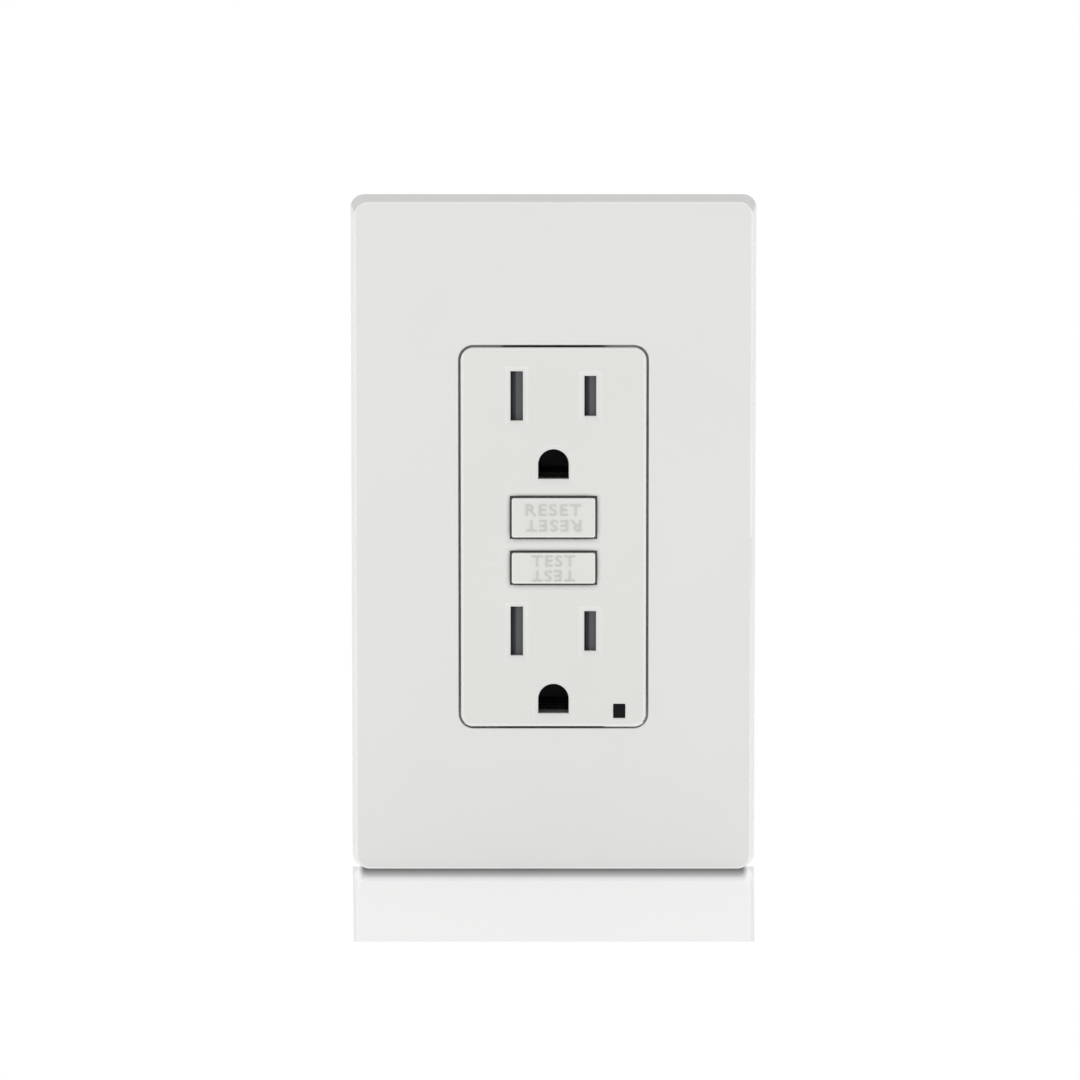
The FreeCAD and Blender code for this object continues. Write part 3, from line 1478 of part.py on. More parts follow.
def make_everything():
    """Every sub-part of the outlet, in order from the wall plate back."""
    pieces = [
        make_wallplate(),
        make_carrier(),
        make_subplate_screws(),
        make_mounting_screws(),
        make_screw_retainers(),
        make_strap(),
        make_ground_contacts(),
        make_ground_rivets(),
        make_front_cover(),
        make_rear_housing(),
        make_middle_housing(),
        make_assembly_screws(),
        make_reset_button(),
        make_test_button(),
        make_reset_pin(),
        make_reset_spring(),
        make_indicator_lens(),
        make_lifter(),
        make_latch_plate(),
        make_latch_spring(),
        make_test_spring(),
        make_solenoid_bobbin(),
        make_solenoid_coil(),
        make_solenoid_frame(),
        make_plunger(),
        make_plunger_spring(),
        make_circuit_board(),
        make_transformer_housing(),
        make_line_conductors(),
        make_varistor(),
        make_capacitors(),
        make_resistors(),
        make_semiconductors(),
    ]
    for name, blades in OUTLETS.items():
        pieces.append(make_shutter(name, blades))
        pieces.append(make_shutter_spring(name, blades))
    pieces += make_ground_terminal()
    pieces += make_transformers()
    pieces += make_poles()
    return pieces


def check_document(pieces):
    """Stops if any object failed or any sub-part is not a set of valid closed solids."""
    doc.recompute()
    for item in doc.Objects:
        if "Invalid" in item.State or "Error" in item.State:
            raise RuntimeError(f"{item.Label} did not recompute")
    for piece in pieces:
        if piece.Shape.isNull() or not piece.Shape.isValid() or not piece.Shape.Solids:
            raise RuntimeError(f"{piece.Label} has no valid shape")


def write_parts(pieces):
    os.makedirs("parts", exist_ok=True)
    for piece in pieces:
        piece.Shape.exportStep(os.path.join("parts", f"{piece.Label}.step"))


sheet = make_sheet()
parts = make_everything()
check_document(parts)
write_parts(parts)
for part in parts:
    print(f"{part.Label}: {len(part.Shape.Solids)} solid(s), {part.Shape.Volume:.1f} mm3")
print(len(parts), "sub-parts")
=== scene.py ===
"""Looks of a ground-fault outlet with its screwless wallplate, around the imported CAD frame.

Metres, the frame's axes: X to the right, Y into the wall, Z up.
Every piece takes its place from a CAD node's box.
"""

import json
import math
import bmesh
import bpy
from mathutils import Matrix, Vector


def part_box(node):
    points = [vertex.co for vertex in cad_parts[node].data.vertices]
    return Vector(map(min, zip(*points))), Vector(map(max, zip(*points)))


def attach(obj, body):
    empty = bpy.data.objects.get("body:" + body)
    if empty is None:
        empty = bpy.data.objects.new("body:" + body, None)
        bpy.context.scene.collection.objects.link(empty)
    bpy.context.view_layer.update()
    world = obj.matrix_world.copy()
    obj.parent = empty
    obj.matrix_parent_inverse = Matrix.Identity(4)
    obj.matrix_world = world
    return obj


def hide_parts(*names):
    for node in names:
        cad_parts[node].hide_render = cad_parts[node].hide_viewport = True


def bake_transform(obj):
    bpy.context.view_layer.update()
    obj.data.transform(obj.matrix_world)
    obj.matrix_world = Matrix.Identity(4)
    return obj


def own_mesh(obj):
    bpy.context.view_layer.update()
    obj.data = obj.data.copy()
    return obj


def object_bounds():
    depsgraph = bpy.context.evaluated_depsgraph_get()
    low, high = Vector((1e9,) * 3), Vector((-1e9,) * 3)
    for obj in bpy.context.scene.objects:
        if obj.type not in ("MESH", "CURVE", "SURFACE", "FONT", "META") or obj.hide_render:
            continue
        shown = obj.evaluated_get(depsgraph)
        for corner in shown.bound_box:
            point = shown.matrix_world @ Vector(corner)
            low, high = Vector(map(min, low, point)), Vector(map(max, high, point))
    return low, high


MM = 0.001

# ---------------------------------------------------------------- camera
CAMERA_DISTANCE = 1.30
CAMERA_ELEVATION = math.radians(8.0)
FRAME_WIDTH = 186.6 * MM
SENSOR_WIDTH = 36.0
AIM_ACROSS = -2.33 * MM
AIM_UP = -0.35 * MM

# ---------------------------------------------------------------- light and floor; glows are plain radiance
SKY_LEVEL = 0.945
SKY_SIDES = -0.60
SKY_BEHIND = -0.42
SOFTBOX_EDGE = 0.94
SOFTBOX_GLOW = 1.2
FLOOR_REACH = 6.0
FLOOR_GLOW = 1.0
STRIP_GLOW = 0.95
STRIP_INDEX = 1.8
STRIP_ROUGHNESS = 0.04
STRIP_REACH = 62.0 * MM
# CONTACT_*: the painted shadow on the floor at the plate's foot
CONTACT_START = 3.0 * MM
CONTACT_REACH = 14.5 * MM
CONTACT_GRAZING = (0.1, 0.45)
CONTACT_SIDEWAYS = 14.0
CONTACT_INSET = 2.2 * MM

# ---------------------------------------------------------------- threads
THREAD_PITCH = 0.79375 * MM
THREAD_DEPTH = 0.36 * MM
THREAD_RADIUS = 1.72 * MM
THREAD_LAP = 0.02 * MM
BOX_SCREW_NECK_END = 0.47 * MM
PLATE_SCREW_HEAD = 1.2 * MM
ROWS_PER_TURN = 10
THREAD_SIDES = 36
SHARP_ANGLE = math.radians(32)

# ---------------------------------------------------------------- gaps and edges of mouldings: painted shade in gaps, painted highlight on edges
GAP_REACH = 1.2 * MM
GAP_SHADE = 0.25
GAP_OPENNESS = (0.12, 0.55)
EDGE_TURN = (0.18, 0.42)

# ---------------------------------------------------------------- springs
LEAF_ROOT = 2.4 * MM
LEAF_STEM = 1.4 * MM
LEAF_CUTS = 16

# ---------------------------------------------------------------- lettering
LETTER_RAISE = 0.16 * MM
LETTER_SINK = 0.05 * MM
LETTER_BEVEL = 0.03 * MM
LETTER_SPACING = 1.12
RESET_CAP = 2.0 * MM
RESET_LENGTH = 9.6 * MM
RESET_GAP = 0.75 * MM
TEST_CAP = 1.95 * MM
TEST_LENGTH = 7.5 * MM
TEST_GAP = 0.65 * MM


# ================================================================ material nodes

class Shader:
    """A material with one Principled BSDF, and short calls for the nodes that feed it."""

    def __init__(self, name):
        self.material = bpy.data.materials.new(name)
        self.material.use_nodes = True
        self.nodes = self.material.node_tree.nodes
        self.links = self.material.node_tree.links
        self.surface = self.nodes["Principled BSDF"]
        self.place = self.nodes.new("ShaderNodeTexCoord").outputs["Object"]

    def set(self, **values):
        """Sets constant inputs of the Principled BSDF; an underscore in a name stands for a space."""
        for name, value in values.items():
            self.surface.inputs[name.replace("_", " ")].default_value = value

    def link(self, output, name):
        self.links.new(output, self.surface.inputs[name])

    def stretched(self, stretch):
        """The object's own coordinates, scaled along each axis, so that a grain can run one way."""
        mapping = self.nodes.new("ShaderNodeMapping")
        mapping.inputs["Scale"].default_value = stretch
        self.links.new(self.place, mapping.inputs["Vector"])
        return mapping.outputs["Vector"]

    def noise(self, per_metre, detail=2.0, rough=0.5, stretch=None):
        node = self.nodes.new("ShaderNodeTexNoise")
        node.inputs["Scale"].default_value = per_metre
        node.inputs["Detail"].default_value = detail
        node.inputs["Roughness"].default_value = rough
        self.links.new(self.stretched(stretch) if stretch else self.place, node.inputs["Vector"])
        return node.outputs["Fac"]

    def cells(self, per_metre, feature="F1"):
        node = self.nodes.new("ShaderNodeTexVoronoi")
        node.feature = feature
        node.inputs["Scale"].default_value = per_metre
        self.links.new(self.place, node.inputs["Vector"])
        return node.outputs["Distance"]

    def spread(self, value, low, high, to_low=0.0, to_high=1.0):
        node = self.nodes.new("ShaderNodeMapRange")
        ends = {"From Min": low, "From Max": high, "To Min": to_low, "To Max": to_high}
        for name, number in ends.items():
            node.inputs[name].default_value = number
        self.links.new(value, node.inputs["Value"])
        return node.outputs["Result"]

    def math(self, operation, first, second):
        node = self.nodes.new("ShaderNodeMath")
        node.operation = operation
        for socket, value in zip(node.inputs, (first, second)):
            if isinstance(value, (int, float)):
                socket.default_value = value
            else:
                self.links.new(value, socket)
        return node.outputs["Value"]

    def mix(self, factor, first, second):
        """A colour between two colours, each a constant or an output."""
        node = self.nodes.new("ShaderNodeMix")
        node.data_type = "RGBA"
        self.links.new(factor, node.inputs["Factor"])
        for name, value in (("A", first), ("B", second)):
            socket = [s for s in node.inputs if s.name == name and s.type == "RGBA"][0]
            if isinstance(value, tuple):
                socket.default_value = (*value, 1.0)
            else:
                self.links.new(value, socket)
        return [s for s in node.outputs if s.type == "RGBA"][0]

    def edge_facing(self):
        """One where a surface turns halfway between the front and a side, as a bevelled edge does; the mask
        of a painted highlight.
        """
        split = self.nodes.new("ShaderNodeSeparateXYZ")
        self.links.new(self.nodes.new("ShaderNodeNewGeometry").outputs["Normal"], split.inputs["Vector"])
        sideways = self.math("ABSOLUTE", split.outputs["X"], 0.0)
        upright = self.math("ABSOLUTE", split.outputs["Z"], 0.0)
        outward = self.math("MAXIMUM", sideways, upright)
        between = self.math("MULTIPLY", outward, split.outputs["Y"])
        return self.spread(self.math("ABSOLUTE", between, 0.0), *EDGE_TURN)

    def openness(self):
        """One on an open surface, and toward zero inside a gap that is narrower than GAP_REACH; the mask of
        painted shade in gaps.
        """
        node = self.nodes.new("ShaderNodeAmbientOcclusion")
        node.samples = 8
        node.inputs["Distance"].default_value = GAP_REACH
        return self.spread(node.outputs["AO"], *GAP_OPENNESS)

    def bump(self, height, depth, strength=1.0, under=None):
        node = self.nodes.new("ShaderNodeBump")
        node.inputs["Strength"].default_value = strength
        node.inputs["Distance"].default_value = depth
        self.links.new(height, node.inputs["Height"])
        if under:
            self.links.new(under, node.inputs["Normal"])
        return node.outputs["Normal"]


def shade(colour, factor):
    return tuple(min(1.0, channel * factor) for channel in colour)


def moulded(name, colour, rough, grain=0.004 * MM, grain_size=0.25 * MM, tint=0.02, specular=0.5,
            edge_highlight=None):
    """Injection-moulded plastic: faint clouds, uneven polish, a fine texture, and, where a highlight colour
    is given, a painted highlight on bevelled edges and painted shade in narrow gaps.
    """
    s = Shader(name)
    clouds = s.spread(s.noise(55.0, 3.0), 0.3, 0.7)
    specks = s.spread(s.noise(1500.0, 2.0), 0.68, 0.85)
    body = s.mix(clouds, shade(colour, 1 - tint), shade(colour, 1 + tint))
    body = s.mix(s.math("MULTIPLY", specks, 0.04), body, shade(colour, 1 - 2 * tint))
    if edge_highlight:
        # painted shade: darker base colour in narrow gaps, over a painted highlight on bevelled edges
        body = s.mix(s.openness(), shade(colour, GAP_SHADE), s.mix(s.edge_facing(), body, edge_highlight))
    s.link(body, "Base Color")
    s.link(s.spread(s.noise(160.0, 4.0), 0.25, 0.75, rough * 0.88, rough * 1.12), "Roughness")
    s.link(s.bump(s.noise(1 / grain_size, 2.0), grain), "Normal")
    s.set(Specular_IOR_Level=specular)
    return s.material


def plated(name, colour, rough, direction=(1, 1, 12), dull=None, metal=1.0):
    """Stamped and plated sheet: rolling lines one way, cloudy plating, dull patches and scratches."""
    s = Shader(name)
    lines = s.noise(420.0, 4.0, 0.65, stretch=direction)
    clouds = s.spread(s.noise(130.0, 3.0), 0.35, 0.7)
    scratches = s.spread(s.noise(260.0, 6.0, 0.75, stretch=(6, 1, 1)), 0.62, 0.68)
    body = s.mix(clouds, colour, dull or shade(colour, 0.82))
    s.link(s.mix(s.math("MULTIPLY", scratches, 0.35), body, shade(colour, 1.12)), "Base Color")
    uneven = s.spread(clouds, 0.0, 1.0, rough, rough + 0.16)
    s.link(s.math("ADD", uneven, s.spread(lines, 0.3, 0.7, -0.05, 0.05)), "Roughness")
    s.link(s.bump(scratches, -0.004 * MM, under=s.bump(lines, 0.006 * MM)), "Normal")
    s.set(Metallic=metal)
    return s.material


def enamelled(name, colour, rough, blotch):
    """A dipped or painted coat: thick and glossy, thinner at its blotches, with an orange-peel skin."""
    s = Shader(name)
    s.link(s.mix(s.spread(s.noise(380.0, 3.0), 0.4, 0.7), colour, blotch), "Base Color")
    s.link(s.spread(s.noise(500.0, 2.0), 0.3, 0.7, rough * 0.8, rough * 1.3), "Roughness")
    s.link(s.bump(s.noise(1600.0, 1.0), 0.01 * MM), "Normal")
    s.set(Coat_Weight=0.4, Coat_Roughness=0.12)
    return s.material


def wound(name, colour, direction):
    """Enamelled winding wire, in close turns that run across one axis."""
    s = Shader(name)
    node = s.nodes.new("ShaderNodeTexWave")
    node.wave_type = "BANDS"
    node.bands_direction = direction
    node.inputs["Scale"].default_value = 420.0
    node.inputs["Distortion"].default_value = 0.4
    s.links.new(s.place, node.inputs["Vector"])
    turns = node.outputs["Fac"]
    s.link(s.mix(turns, shade(colour, 0.45), colour), "Base Color")
    s.link(s.spread(s.noise(900.0), 0.3, 0.7, 0.18, 0.36), "Roughness")
    s.link(s.bump(turns, 0.06 * MM), "Normal")
    s.set(Metallic=0.85, Coat_Weight=0.6, Coat_Roughness=0.15)
    return s.material


def sintered(name, colour):
    """Pressed ferrite: dark, dry and pitted."""
    s = Shader(name)
    pits = s.spread(s.cells(2600.0), 0.0, 0.45)
    s.link(s.mix(pits, shade(colour, 0.5), colour), "Base Color")
    s.link(s.spread(s.noise(1400.0), 0.3, 0.7, 0.55, 0.8), "Roughness")
    s.link(s.bump(pits, 0.02 * MM), "Normal")
    return s.material


def laminate(name, mask, bare, trace):
    """A printed board: solder mask over copper tracks, with a woven glass grain."""
    s = Shader(name)
    node = s.nodes.new("ShaderNodeTexBrick")
    node.inputs["Scale"].default_value = 230.0
    node.inputs["Mortar Size"].default_value = 0.09
    node.inputs["Color1"].default_value = (*mask, 1.0)
    node.inputs["Color2"].default_value = (*shade(mask, 0.82), 1.0)
    node.inputs["Mortar"].default_value = (*trace, 1.0)
    s.links.new(s.stretched((1, 1, 0.35)), node.inputs["Vector"])
    weave = s.noise(2400.0, 1.0)
    s.link(s.mix(s.spread(weave, 0.55, 0.8, 0.0, 0.5), node.outputs["Color"], bare), "Base Color")
    s.link(s.spread(weave, 0.3, 0.7, 0.25, 0.42), "Roughness")
    s.link(s.bump(weave, 0.008 * MM, under=s.bump(node.outputs["Fac"], 0.03 * MM)), "Normal")
    s.set(Coat_Weight=0.3, Coat_Roughness=0.2)
    return s.material


def fibre(name, colour):
    """Vulcanised fibre or card: matt, with short fibres pressed both ways."""
    s = Shader(name)
    strands = s.noise(900.0, 5.0, 0.7, stretch=(1, 1, 7))
    across = s.noise(900.0, 5.0, 0.7, stretch=(7, 1, 1))
    woven = s.math("MAXIMUM", strands, across)
    s.link(s.mix(s.spread(woven, 0.45, 0.75), shade(colour, 0.8), shade(colour, 1.1)), "Base Color")
    s.link(s.spread(woven, 0.4, 0.8, 0.65, 0.85), "Roughness")
    s.link(s.bump(woven, 0.03 * MM), "Normal")
    return s.material


def clear(name, colour):
    """The indicator's smoked lens, dark while its lamp is off."""
    s = Shader(name)
    s.link(s.mix(s.spread(s.noise(700.0), 0.35, 0.7), colour, shade(colour, 0.6)), "Base Color")
    s.link(s.spread(s.noise(1200.0), 0.3, 0.7, 0.08, 0.2), "Roughness")
    s.set(Specular_IOR_Level=0.12)
    return s.material


STEEL = (0.62, 0.62, 0.60)
BRASS = (0.78, 0.58, 0.27)


def face_moulded(name):
    """The slightly warmer plastic of the outlet's face and of its buttons."""
    # the last colour is a painted highlight on bevelled edges; narrow gaps also get painted shade
    return moulded(name, (0.828, 0.833, 0.795), 0.30, grain=0.0015 * MM, tint=0.008, specular=0.4,
                   edge_highlight=(0.92, 0.925, 0.90))


def plate_moulded(name):
    """The wall plate's plastic, whiter and glossier than the face."""
    # the last colour is a painted highlight on bevelled edges; narrow gaps also get painted shade
    return moulded(name, (0.85, 0.85, 0.837), 0.24, grain=0.0008 * MM, tint=0.006, specular=0.3,
                   edge_highlight=(0.97, 0.97, 0.955))


MATERIALS = {
    "plate_plastic": plate_moulded,
    "carrier_plastic": lambda n: moulded(n, (0.74, 0.74, 0.72), 0.45, grain=0.01 * MM),
    "face_plastic": face_moulded,
    "button_plastic": face_moulded,
    "lens_clear": lambda n: clear(n, (0.005, 0.006, 0.006)),
    "shutter_plastic": lambda n: moulded(n, (0.10, 0.106, 0.115), 0.5, tint=0.05),
    "housing_plastic": lambda n: moulded(n, (0.66, 0.665, 0.64), 0.5, grain=0.02 * MM, grain_size=0.4 * MM),
    # a dark grey, darkened further as painted shade seen at the back of the grounding holes
    "deck_plastic": lambda n: moulded(n, (0.12, 0.125, 0.13), 0.55, grain=0.02 * MM, tint=0.06),
    "lifter_plastic": lambda n: moulded(n, (0.035, 0.035, 0.04), 0.42, tint=0.1),
    "strap_steel": lambda n: plated(n, STEEL, 0.30),
    "screw_steel": lambda n: plated(n, (0.66, 0.65, 0.60), 0.26, direction=(8, 1, 8)),
    "plate_screw_steel": lambda n: plated(n, (0.60, 0.58, 0.50), 0.28, direction=(8, 1, 8)),
    "retainer_fibre": lambda n: fibre(n, (0.42, 0.36, 0.27)),
    "ground_green": lambda n: enamelled(n, (0.03, 0.22, 0.075), 0.32, (0.07, 0.32, 0.13)),
    "clamp_steel": lambda n: plated(n, (0.58, 0.58, 0.56), 0.33, direction=(1, 10, 1)),
    "hot_screw_brass": lambda n: plated(n, BRASS, 0.25, direction=(1, 8, 8), dull=(0.55, 0.36, 0.14)),
    "neutral_screw_steel": lambda n: plated(n, (0.70, 0.70, 0.69), 0.24, direction=(1, 8, 8)),
    "contact_brass": lambda n: plated(n, BRASS, 0.30, dull=(0.60, 0.40, 0.17)),
    # near-black as painted shade: it stands in for the shade inside the grounding holes
    "ground_bronze": lambda n: plated(n, (0.035, 0.028, 0.02), 0.55, metal=0.3, dull=(0.02, 0.016, 0.012)),
    "contact_silver": lambda n: plated(n, (0.85, 0.84, 0.81), 0.22, direction=(6, 6, 6)),
    "spring_steel": lambda n: plated(n, (0.46, 0.46, 0.47), 0.22, direction=(1, 1, 1)),
    "pin_steel": lambda n: plated(n, (0.60, 0.60, 0.61), 0.20, direction=(1, 10, 1)),
    "bobbin_nylon": lambda n: moulded(n, (0.62, 0.60, 0.52), 0.45, tint=0.03),
    "coil_copper": lambda n: wound(n, (0.72, 0.28, 0.11), "Z"),
    "ferrite": lambda n: sintered(n, (0.06, 0.06, 0.065)),
    "board_green": lambda n: laminate(n, (0.015, 0.13, 0.05), (0.05, 0.22, 0.10), (0.03, 0.24, 0.09)),
    "varistor_blue": lambda n: enamelled(n, (0.02, 0.09, 0.42), 0.3, (0.03, 0.13, 0.50)),
    "capacitor_black": lambda n: enamelled(n, (0.02, 0.02, 0.025), 0.35, (0.035, 0.035, 0.04)),
    "resistor_tan": lambda n: enamelled(n, (0.58, 0.42, 0.24), 0.5, (0.50, 0.34, 0.18)),
    "chip_black": lambda n: moulded(n, (0.02, 0.02, 0.022), 0.55, grain=0.03 * MM, grain_size=0.12 * MM),
}


def make_materials(record):
    return {m["slot"]: MATERIALS[m["slot"]](m["slot"]) for m in record["materials"]}


# ================================================================ pieces

def new_piece(name, mesh, body, slot_name, materials, *replaced):
    """Links a finished mesh as a piece with a slot's finish, which rides on a body if one is given."""
    piece = bpy.data.objects.new(name, mesh)
    bpy.context.scene.collection.objects.link(piece)
    mesh.materials.clear()
    mesh.materials.append(materials[slot_name])
    if body:
        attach(piece, body)
    if replaced:
        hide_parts(*replaced)
    return piece


def letters(name, word, cap, length, face, middle, up, turned):
    """One raised word as a mesh, standing on a face at the depth face, upright or turned by half a turn."""
    curve = bpy.data.curves.new(name, "FONT")
    curve.body = word
    curve.align_x = "CENTER"
    curve.extrude = LETTER_RAISE
    curve.bevel_depth = LETTER_BEVEL
    curve.bevel_resolution = 1
    curve.space_character = LETTER_SPACING
    text = bpy.data.objects.new(name, curve)
    bpy.context.scene.collection.objects.link(text)
    bpy.context.view_layer.update()
    mesh = bpy.data.meshes.new_from_object(text)
    bpy.data.objects.remove(text)
    lows = [min(v.co[i] for v in mesh.vertices) for i in range(2)]
    highs = [max(v.co[i] for v in mesh.vertices) for i in range(2)]
    wide, high = highs[0] - lows[0], highs[1] - lows[1]
    centre = Vector(((lows[0] + highs[0]) / 2, (lows[1] + highs[1]) / 2, 0))
    fit = Matrix.Diagonal((length / wide, cap / high, 1, 1)) @ Matrix.Translation(-centre)
    stand = Matrix.Rotation(math.radians(90), 4, "X")
    turn = Matrix.Rotation(math.pi if turned else 0.0, 4, "Y")
    mesh.transform(Matrix.Translation((middle, face, up)) @ turn @ stand @ fit)
    return mesh


def join_meshes(name, meshes):
    joined = bmesh.new()
    for mesh in meshes:
        joined.from_mesh(mesh)
        bpy.data.meshes.remove(mesh)
    made = bpy.data.meshes.new(name)
    joined.to_mesh(made)
    joined.free()
    return made


def thread_radius(major, turn, depth_from_ends):
    """A vee thread's radius at a fraction of a turn, run out toward the ends of the shank."""
    vee = 1 - abs(2 * (turn % 1.0) - 1)
    runout = min(1.0, max(0.0, depth_from_ends / THREAD_PITCH))
    return major - THREAD_DEPTH * (1 - vee * runout)


def add_thread(bm, centre, start, end, major):
    """A closed threaded shank along Y, cut as one grid of rings whose radius follows the helix."""
    count = max(2, round((end - start) / THREAD_PITCH * ROWS_PER_TURN))
    rings = []
    for row in range(count + 1):
        along = start + (end - start) * row / count
        from_ends = min(along - start, end - along)
        ring = []
        for side in range(THREAD_SIDES):
            angle = 2 * math.pi * side / THREAD_SIDES
            turn = (along - start) / THREAD_PITCH - side / THREAD_SIDES
            radius = thread_radius(major, turn, from_ends)
            place = (centre.x + radius * math.cos(angle), along, centre.z + radius * math.sin(angle))
            ring.append(bm.verts.new(place))
        rings.append(ring)
    for lower, upper in zip(rings, rings[1:]):
        for side in range(THREAD_SIDES):
            after = (side + 1) % THREAD_SIDES
            bm.faces.new((lower[side], upper[side], upper[after], lower[after]))
    bm.faces.new(rings[0])
    bm.faces.new(list(reversed(rings[-1])))


def kept_part(node, limit):
    """A copy of a CAD piece with everything beyond a depth cut away and the cut closed."""
    bm = bmesh.new()
    bm.from_mesh(node.data)
    bm.transform(node.matrix_world)
    whole = bm.verts[:] + bm.edges[:] + bm.faces[:]
    cut = bmesh.ops.bisect_plane(bm, geom=whole, plane_co=(0, limit, 0), plane_no=(0, 1, 0),
                                 clear_outer=True)
    bmesh.ops.holes_fill(bm, edges=[e for e in cut["geom_cut"] if isinstance(e, bmesh.types.BMEdge)])
    return bm


def threaded_screws(name, shank_start, slot_name, materials):
    """A pair of screws with their CAD heads, and a cut thread in place of the plain shanks."""
    low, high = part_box(name)
    head_radius = (high.x - low.x) / 2
    bm = kept_part(frame["nodes"][name], shank_start)
    for up in (low.z + head_radius, high.z - head_radius):
        add_thread(bm, Vector((0, 0, up)), shank_start - THREAD_LAP, high.y, THREAD_RADIUS)
    mesh = bpy.data.meshes.new(f"{name}_threaded")
    bm.to_mesh(mesh)
    bm.free()
    mesh.shade_smooth()
    mesh.set_sharp_from_angle(angle=SHARP_ANGLE)
    new_piece(f"{name}_threaded", mesh, "outlet", slot_name, materials, name)


def live_spring(name, bodies, materials):
    """A copy of a spring's CAD mesh that stands in place of the node and rides on the body that holds it.
    """
    mesh = frame["nodes"][name].data.copy()
    mesh.transform(frame["nodes"][name].matrix_world)
    body = next(body for body, nodes in bodies.items() if name in nodes)
    spring = new_piece(f"{name}_live", mesh, body, "spring_steel", materials, name)
    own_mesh(spring)


def live_leaf(name, materials):
    """A copy of a leaf spring, cut across into slices from near its root to the stem that presses it; it
    stands in place of the CAD node and rides on no body.
    """
    low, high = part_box(name)
    root, stem = low.x + LEAF_ROOT, -LEAF_STEM
    bm = bmesh.new()
    bm.from_mesh(frame["nodes"][name].data)
    bm.transform(frame["nodes"][name].matrix_world)
    for cut in range(1, LEAF_CUTS):
        place = root + (stem - root) * cut / LEAF_CUTS
        whole = bm.verts[:] + bm.edges[:] + bm.faces[:]
        bmesh.ops.bisect_plane(bm, geom=whole, plane_co=(place, 0, 0), plane_no=(1, 0, 0))
    mesh = bpy.data.meshes.new(f"{name}_live")
    bm.to_mesh(mesh)
    bm.free()
    leaf = new_piece(f"{name}_live", mesh, None, "spring_steel", materials, name)
    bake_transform(leaf)


def button_word(node, body, word, cap, length, gap, materials):
    """A button's word, twice: upright above, and turned by half a turn below."""
    low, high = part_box(node)
    middle, up, face = (low.x + high.x) / 2, (low.z + high.z) / 2, low.y + LETTER_SINK
    offset = (cap + gap) / 2
    rows = [letters(f"{word}_{i}", word, cap, length, face, middle, up + side * offset, side < 0)
            for i, side in enumerate((1, -1))]
    mesh = join_meshes(f"{word.lower()}_lettering", rows)
    # painted shade: the raised letters take the darker housing plastic, standing in for the shade along
    # their strokes
    new_piece(f"{word.lower()}_lettering", mesh, body, "housing_plastic", materials)


# ================================================================ stage, light and camera

def make_floor(low, plate_low, plate_high):
    """A white sheet, polished for a short way in front of the plate, with a painted soft shadow at the
    contact: its glow dims near the plate, more at grazing views.
    """
    mesh = bpy.data.meshes.new("floor")
    signs = ((-1, -1), (1, -1), (1, 1), (-1, 1))
    corners = [(across * FLOOR_REACH, along * FLOOR_REACH) for across, along in signs]
    mesh.from_pydata([(x, y, low.z) for x, y in corners], [], [(0, 1, 2, 3)])
    floor = bpy.data.objects.new("floor", mesh)
    bpy.context.scene.collection.objects.link(floor)
    s = Shader("floor_sheet")
    split = s.nodes.new("ShaderNodeSeparateXYZ")
    s.links.new(s.place, split.inputs["Vector"])
    in_front = s.math("SUBTRACT", plate_high.y, split.outputs["Y"])
    sideways = s.math("ABSOLUTE", split.outputs["X"], 0.0)
    beside = s.math("SUBTRACT", sideways, plate_high.x - CONTACT_INSET)
    along = s.math("ABSOLUTE", in_front, 0.0)
    across = s.math("MULTIPLY", s.math("MAXIMUM", beside, 0.0), CONTACT_SIDEWAYS)
    away = s.math("SQRT", s.math("ADD", s.math("POWER", along, 2.0), s.math("POWER", across, 2.0)), 0.0)
    fresnel = s.nodes.new("ShaderNodeFresnel")
    fresnel.inputs["IOR"].default_value = STRIP_INDEX
    grazing = s.spread(fresnel.outputs["Fac"], *CONTACT_GRAZING)
    # painted shadow: the glow dims near the plate's foot, more where the sheet is seen at a grazing angle
    painted_contact_shadow = s.math("MULTIPLY", grazing, s.spread(away, CONTACT_START, CONTACT_REACH, 1.0, 0.0))
    strip_end = STRIP_REACH - plate_low.y
    # the strip narrows toward the camera, so that it looks as wide as the plate
    narrowing = s.math("MULTIPLY", in_front, plate_high.x / CAMERA_DISTANCE)
    within = s.math("LESS_THAN", s.math("ADD", sideways, narrowing), plate_high.x)
    started = s.math("GREATER_THAN", in_front, 0.0)
    ended = s.math("LESS_THAN", in_front, strip_end)
    polished = s.math("MULTIPLY", s.math("MULTIPLY", started, ended), within)
    level = s.spread(polished, 0.0, 1.0, FLOOR_GLOW, STRIP_GLOW)
    glow = s.nodes.new("ShaderNodeEmission")
    s.links.new(s.math("MULTIPLY", level, s.math("SUBTRACT", 1.0, painted_contact_shadow)), glow.inputs["Strength"])
    gloss = s.nodes.new("ShaderNodeBsdfGlossy")
    gloss.inputs["Color"].default_value = (1.0, 1.0, 1.0, 1.0)
    gloss.inputs["Roughness"].default_value = STRIP_ROUGHNESS
    blend = s.nodes.new("ShaderNodeMixShader")
    s.links.new(s.math("MULTIPLY", fresnel.outputs["Fac"], polished), blend.inputs["Fac"])
    s.links.new(glow.outputs["Emission"], blend.inputs[1])
    s.links.new(gloss.outputs["BSDF"], blend.inputs[2])
    s.links.new(blend.outputs["Shader"], s.nodes["Material Output"].inputs["Surface"])
    s.nodes.remove(s.surface)
    mesh.materials.append(s.material)


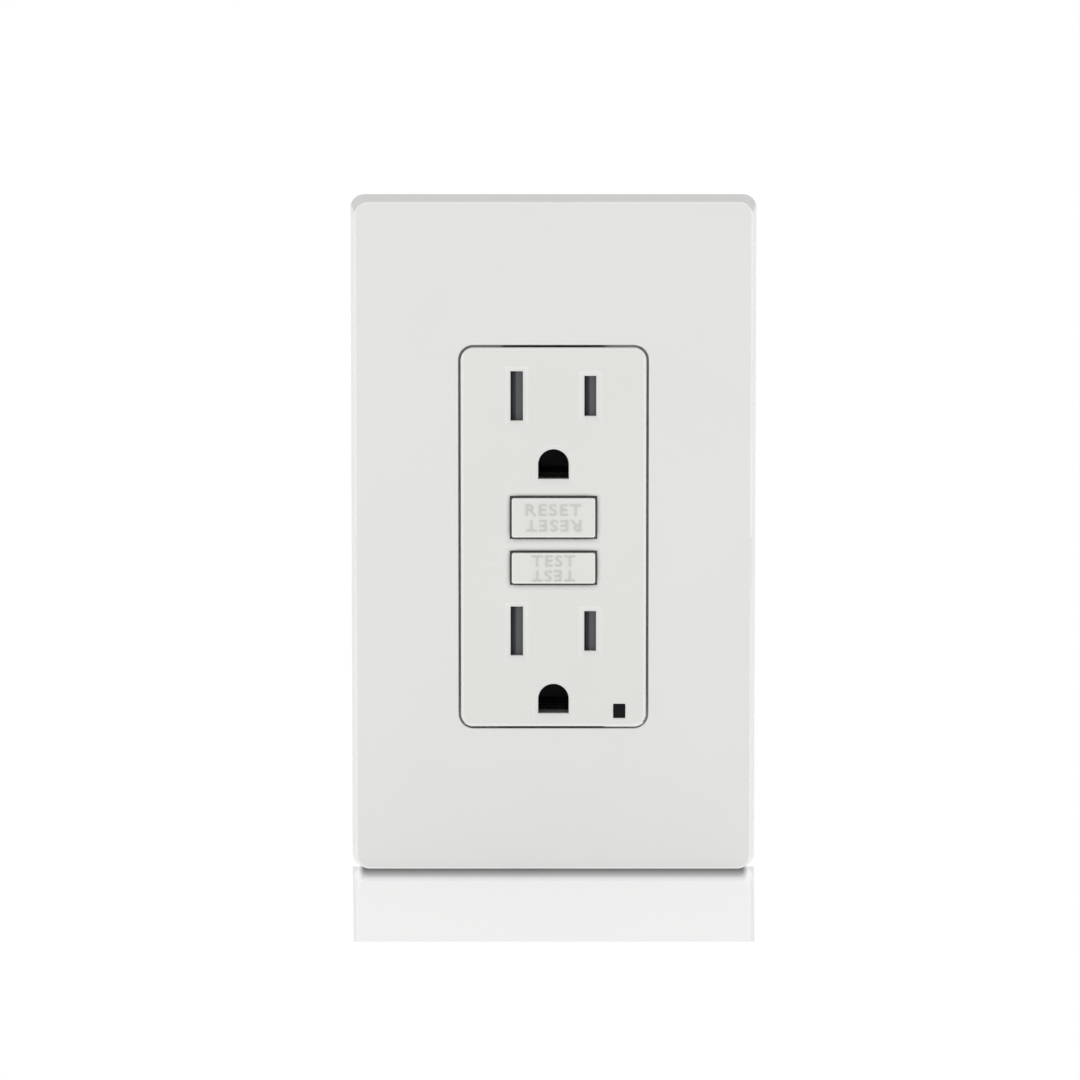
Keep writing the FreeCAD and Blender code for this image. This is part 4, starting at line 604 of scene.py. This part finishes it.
def make_sky():
    """A white tent: bright in front and above, dimmer beside and behind, and a softbox at each side."""
    world = bpy.data.worlds.new("tent")
    world.use_nodes = True
    nodes, links = world.node_tree.nodes, world.node_tree.links

    def worked(operation, first, second):
        node = nodes.new("ShaderNodeMath")
        node.operation = operation
        for socket, value in zip(node.inputs, (first, second)):
            if isinstance(value, float):
                socket.default_value = value
            else:
                links.new(value, socket)
        return node.outputs["Value"]

    split = nodes.new("ShaderNodeSeparateXYZ")
    links.new(nodes.new("ShaderNodeTexCoord").outputs["Generated"], split.inputs["Vector"])
    across, inward = split.outputs["X"], split.outputs["Y"]
    beside = worked("GREATER_THAN", worked("ABSOLUTE", across, 0.0), SOFTBOX_EDGE)
    terms = [
        worked("MULTIPLY", worked("MULTIPLY", across, across), SKY_SIDES),
        worked("MULTIPLY", worked("MAXIMUM", inward, 0.0), SKY_BEHIND),
        worked("MULTIPLY", beside, SOFTBOX_GLOW),
    ]
    level = terms[0]
    for term in terms[1:]:
        level = worked("ADD", level, term)
    links.new(worked("ADD", level, SKY_LEVEL), nodes["Background"].inputs["Strength"])
    nodes["Background"].inputs["Color"].default_value = (1, 1, 1, 1)
    bpy.context.scene.world = world


def make_camera():
    back = Vector((0, -math.cos(CAMERA_ELEVATION), math.sin(CAMERA_ELEVATION)))
    aim = Vector((AIM_ACROSS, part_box("front_cover")[0].y, AIM_UP))
    data = bpy.data.cameras.new("camera")
    data.sensor_width = SENSOR_WIDTH
    data.lens = SENSOR_WIDTH * CAMERA_DISTANCE / FRAME_WIDTH
    camera = bpy.data.objects.new("camera", data)
    camera.location = aim + back * CAMERA_DISTANCE
    camera.rotation_mode = "QUATERNION"
    camera.rotation_quaternion = (-back).to_track_quat("-Z", "Y")
    bpy.context.scene.collection.objects.link(camera)
    bpy.context.scene.camera = camera


# ================================================================ the scene

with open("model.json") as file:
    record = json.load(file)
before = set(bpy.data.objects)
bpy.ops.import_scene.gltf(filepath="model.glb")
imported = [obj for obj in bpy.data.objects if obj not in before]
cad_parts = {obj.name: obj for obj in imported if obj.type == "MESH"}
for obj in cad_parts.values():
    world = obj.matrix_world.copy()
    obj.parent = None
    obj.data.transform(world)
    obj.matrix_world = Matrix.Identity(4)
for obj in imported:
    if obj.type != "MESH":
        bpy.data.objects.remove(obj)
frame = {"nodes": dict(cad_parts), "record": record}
cad_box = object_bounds()
materials = make_materials(frame["record"])

for node in frame["nodes"].values():
    for place in node.material_slots:
        place.material = materials[place.material.name.split(".")[0]]

button_word("reset_button", "reset_plunger", "RESET", RESET_CAP, RESET_LENGTH, RESET_GAP, materials)
button_word("test_button", "test_plunger", "TEST", TEST_CAP, TEST_LENGTH, TEST_GAP, materials)

threaded_screws("mounting_screws", BOX_SCREW_NECK_END, "screw_steel", materials)
plate_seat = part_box("subplate_screws")[0].y + PLATE_SCREW_HEAD
threaded_screws("subplate_screws", plate_seat, "plate_screw_steel", materials)

behaviour = frame["record"]["behaviour"]
for joint in behaviour["joints"]:
    for spring in joint.get("deforming_nodes", ()):
        if spring["node"] == "test_spring":
            live_leaf("test_spring", materials)
        else:
            live_spring(spring["node"], behaviour["bodies"], materials)

make_floor(cad_box[0], *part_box("wallplate"))
make_sky()
make_camera()
bpy.context.scene.view_settings.view_transform = "Standard"
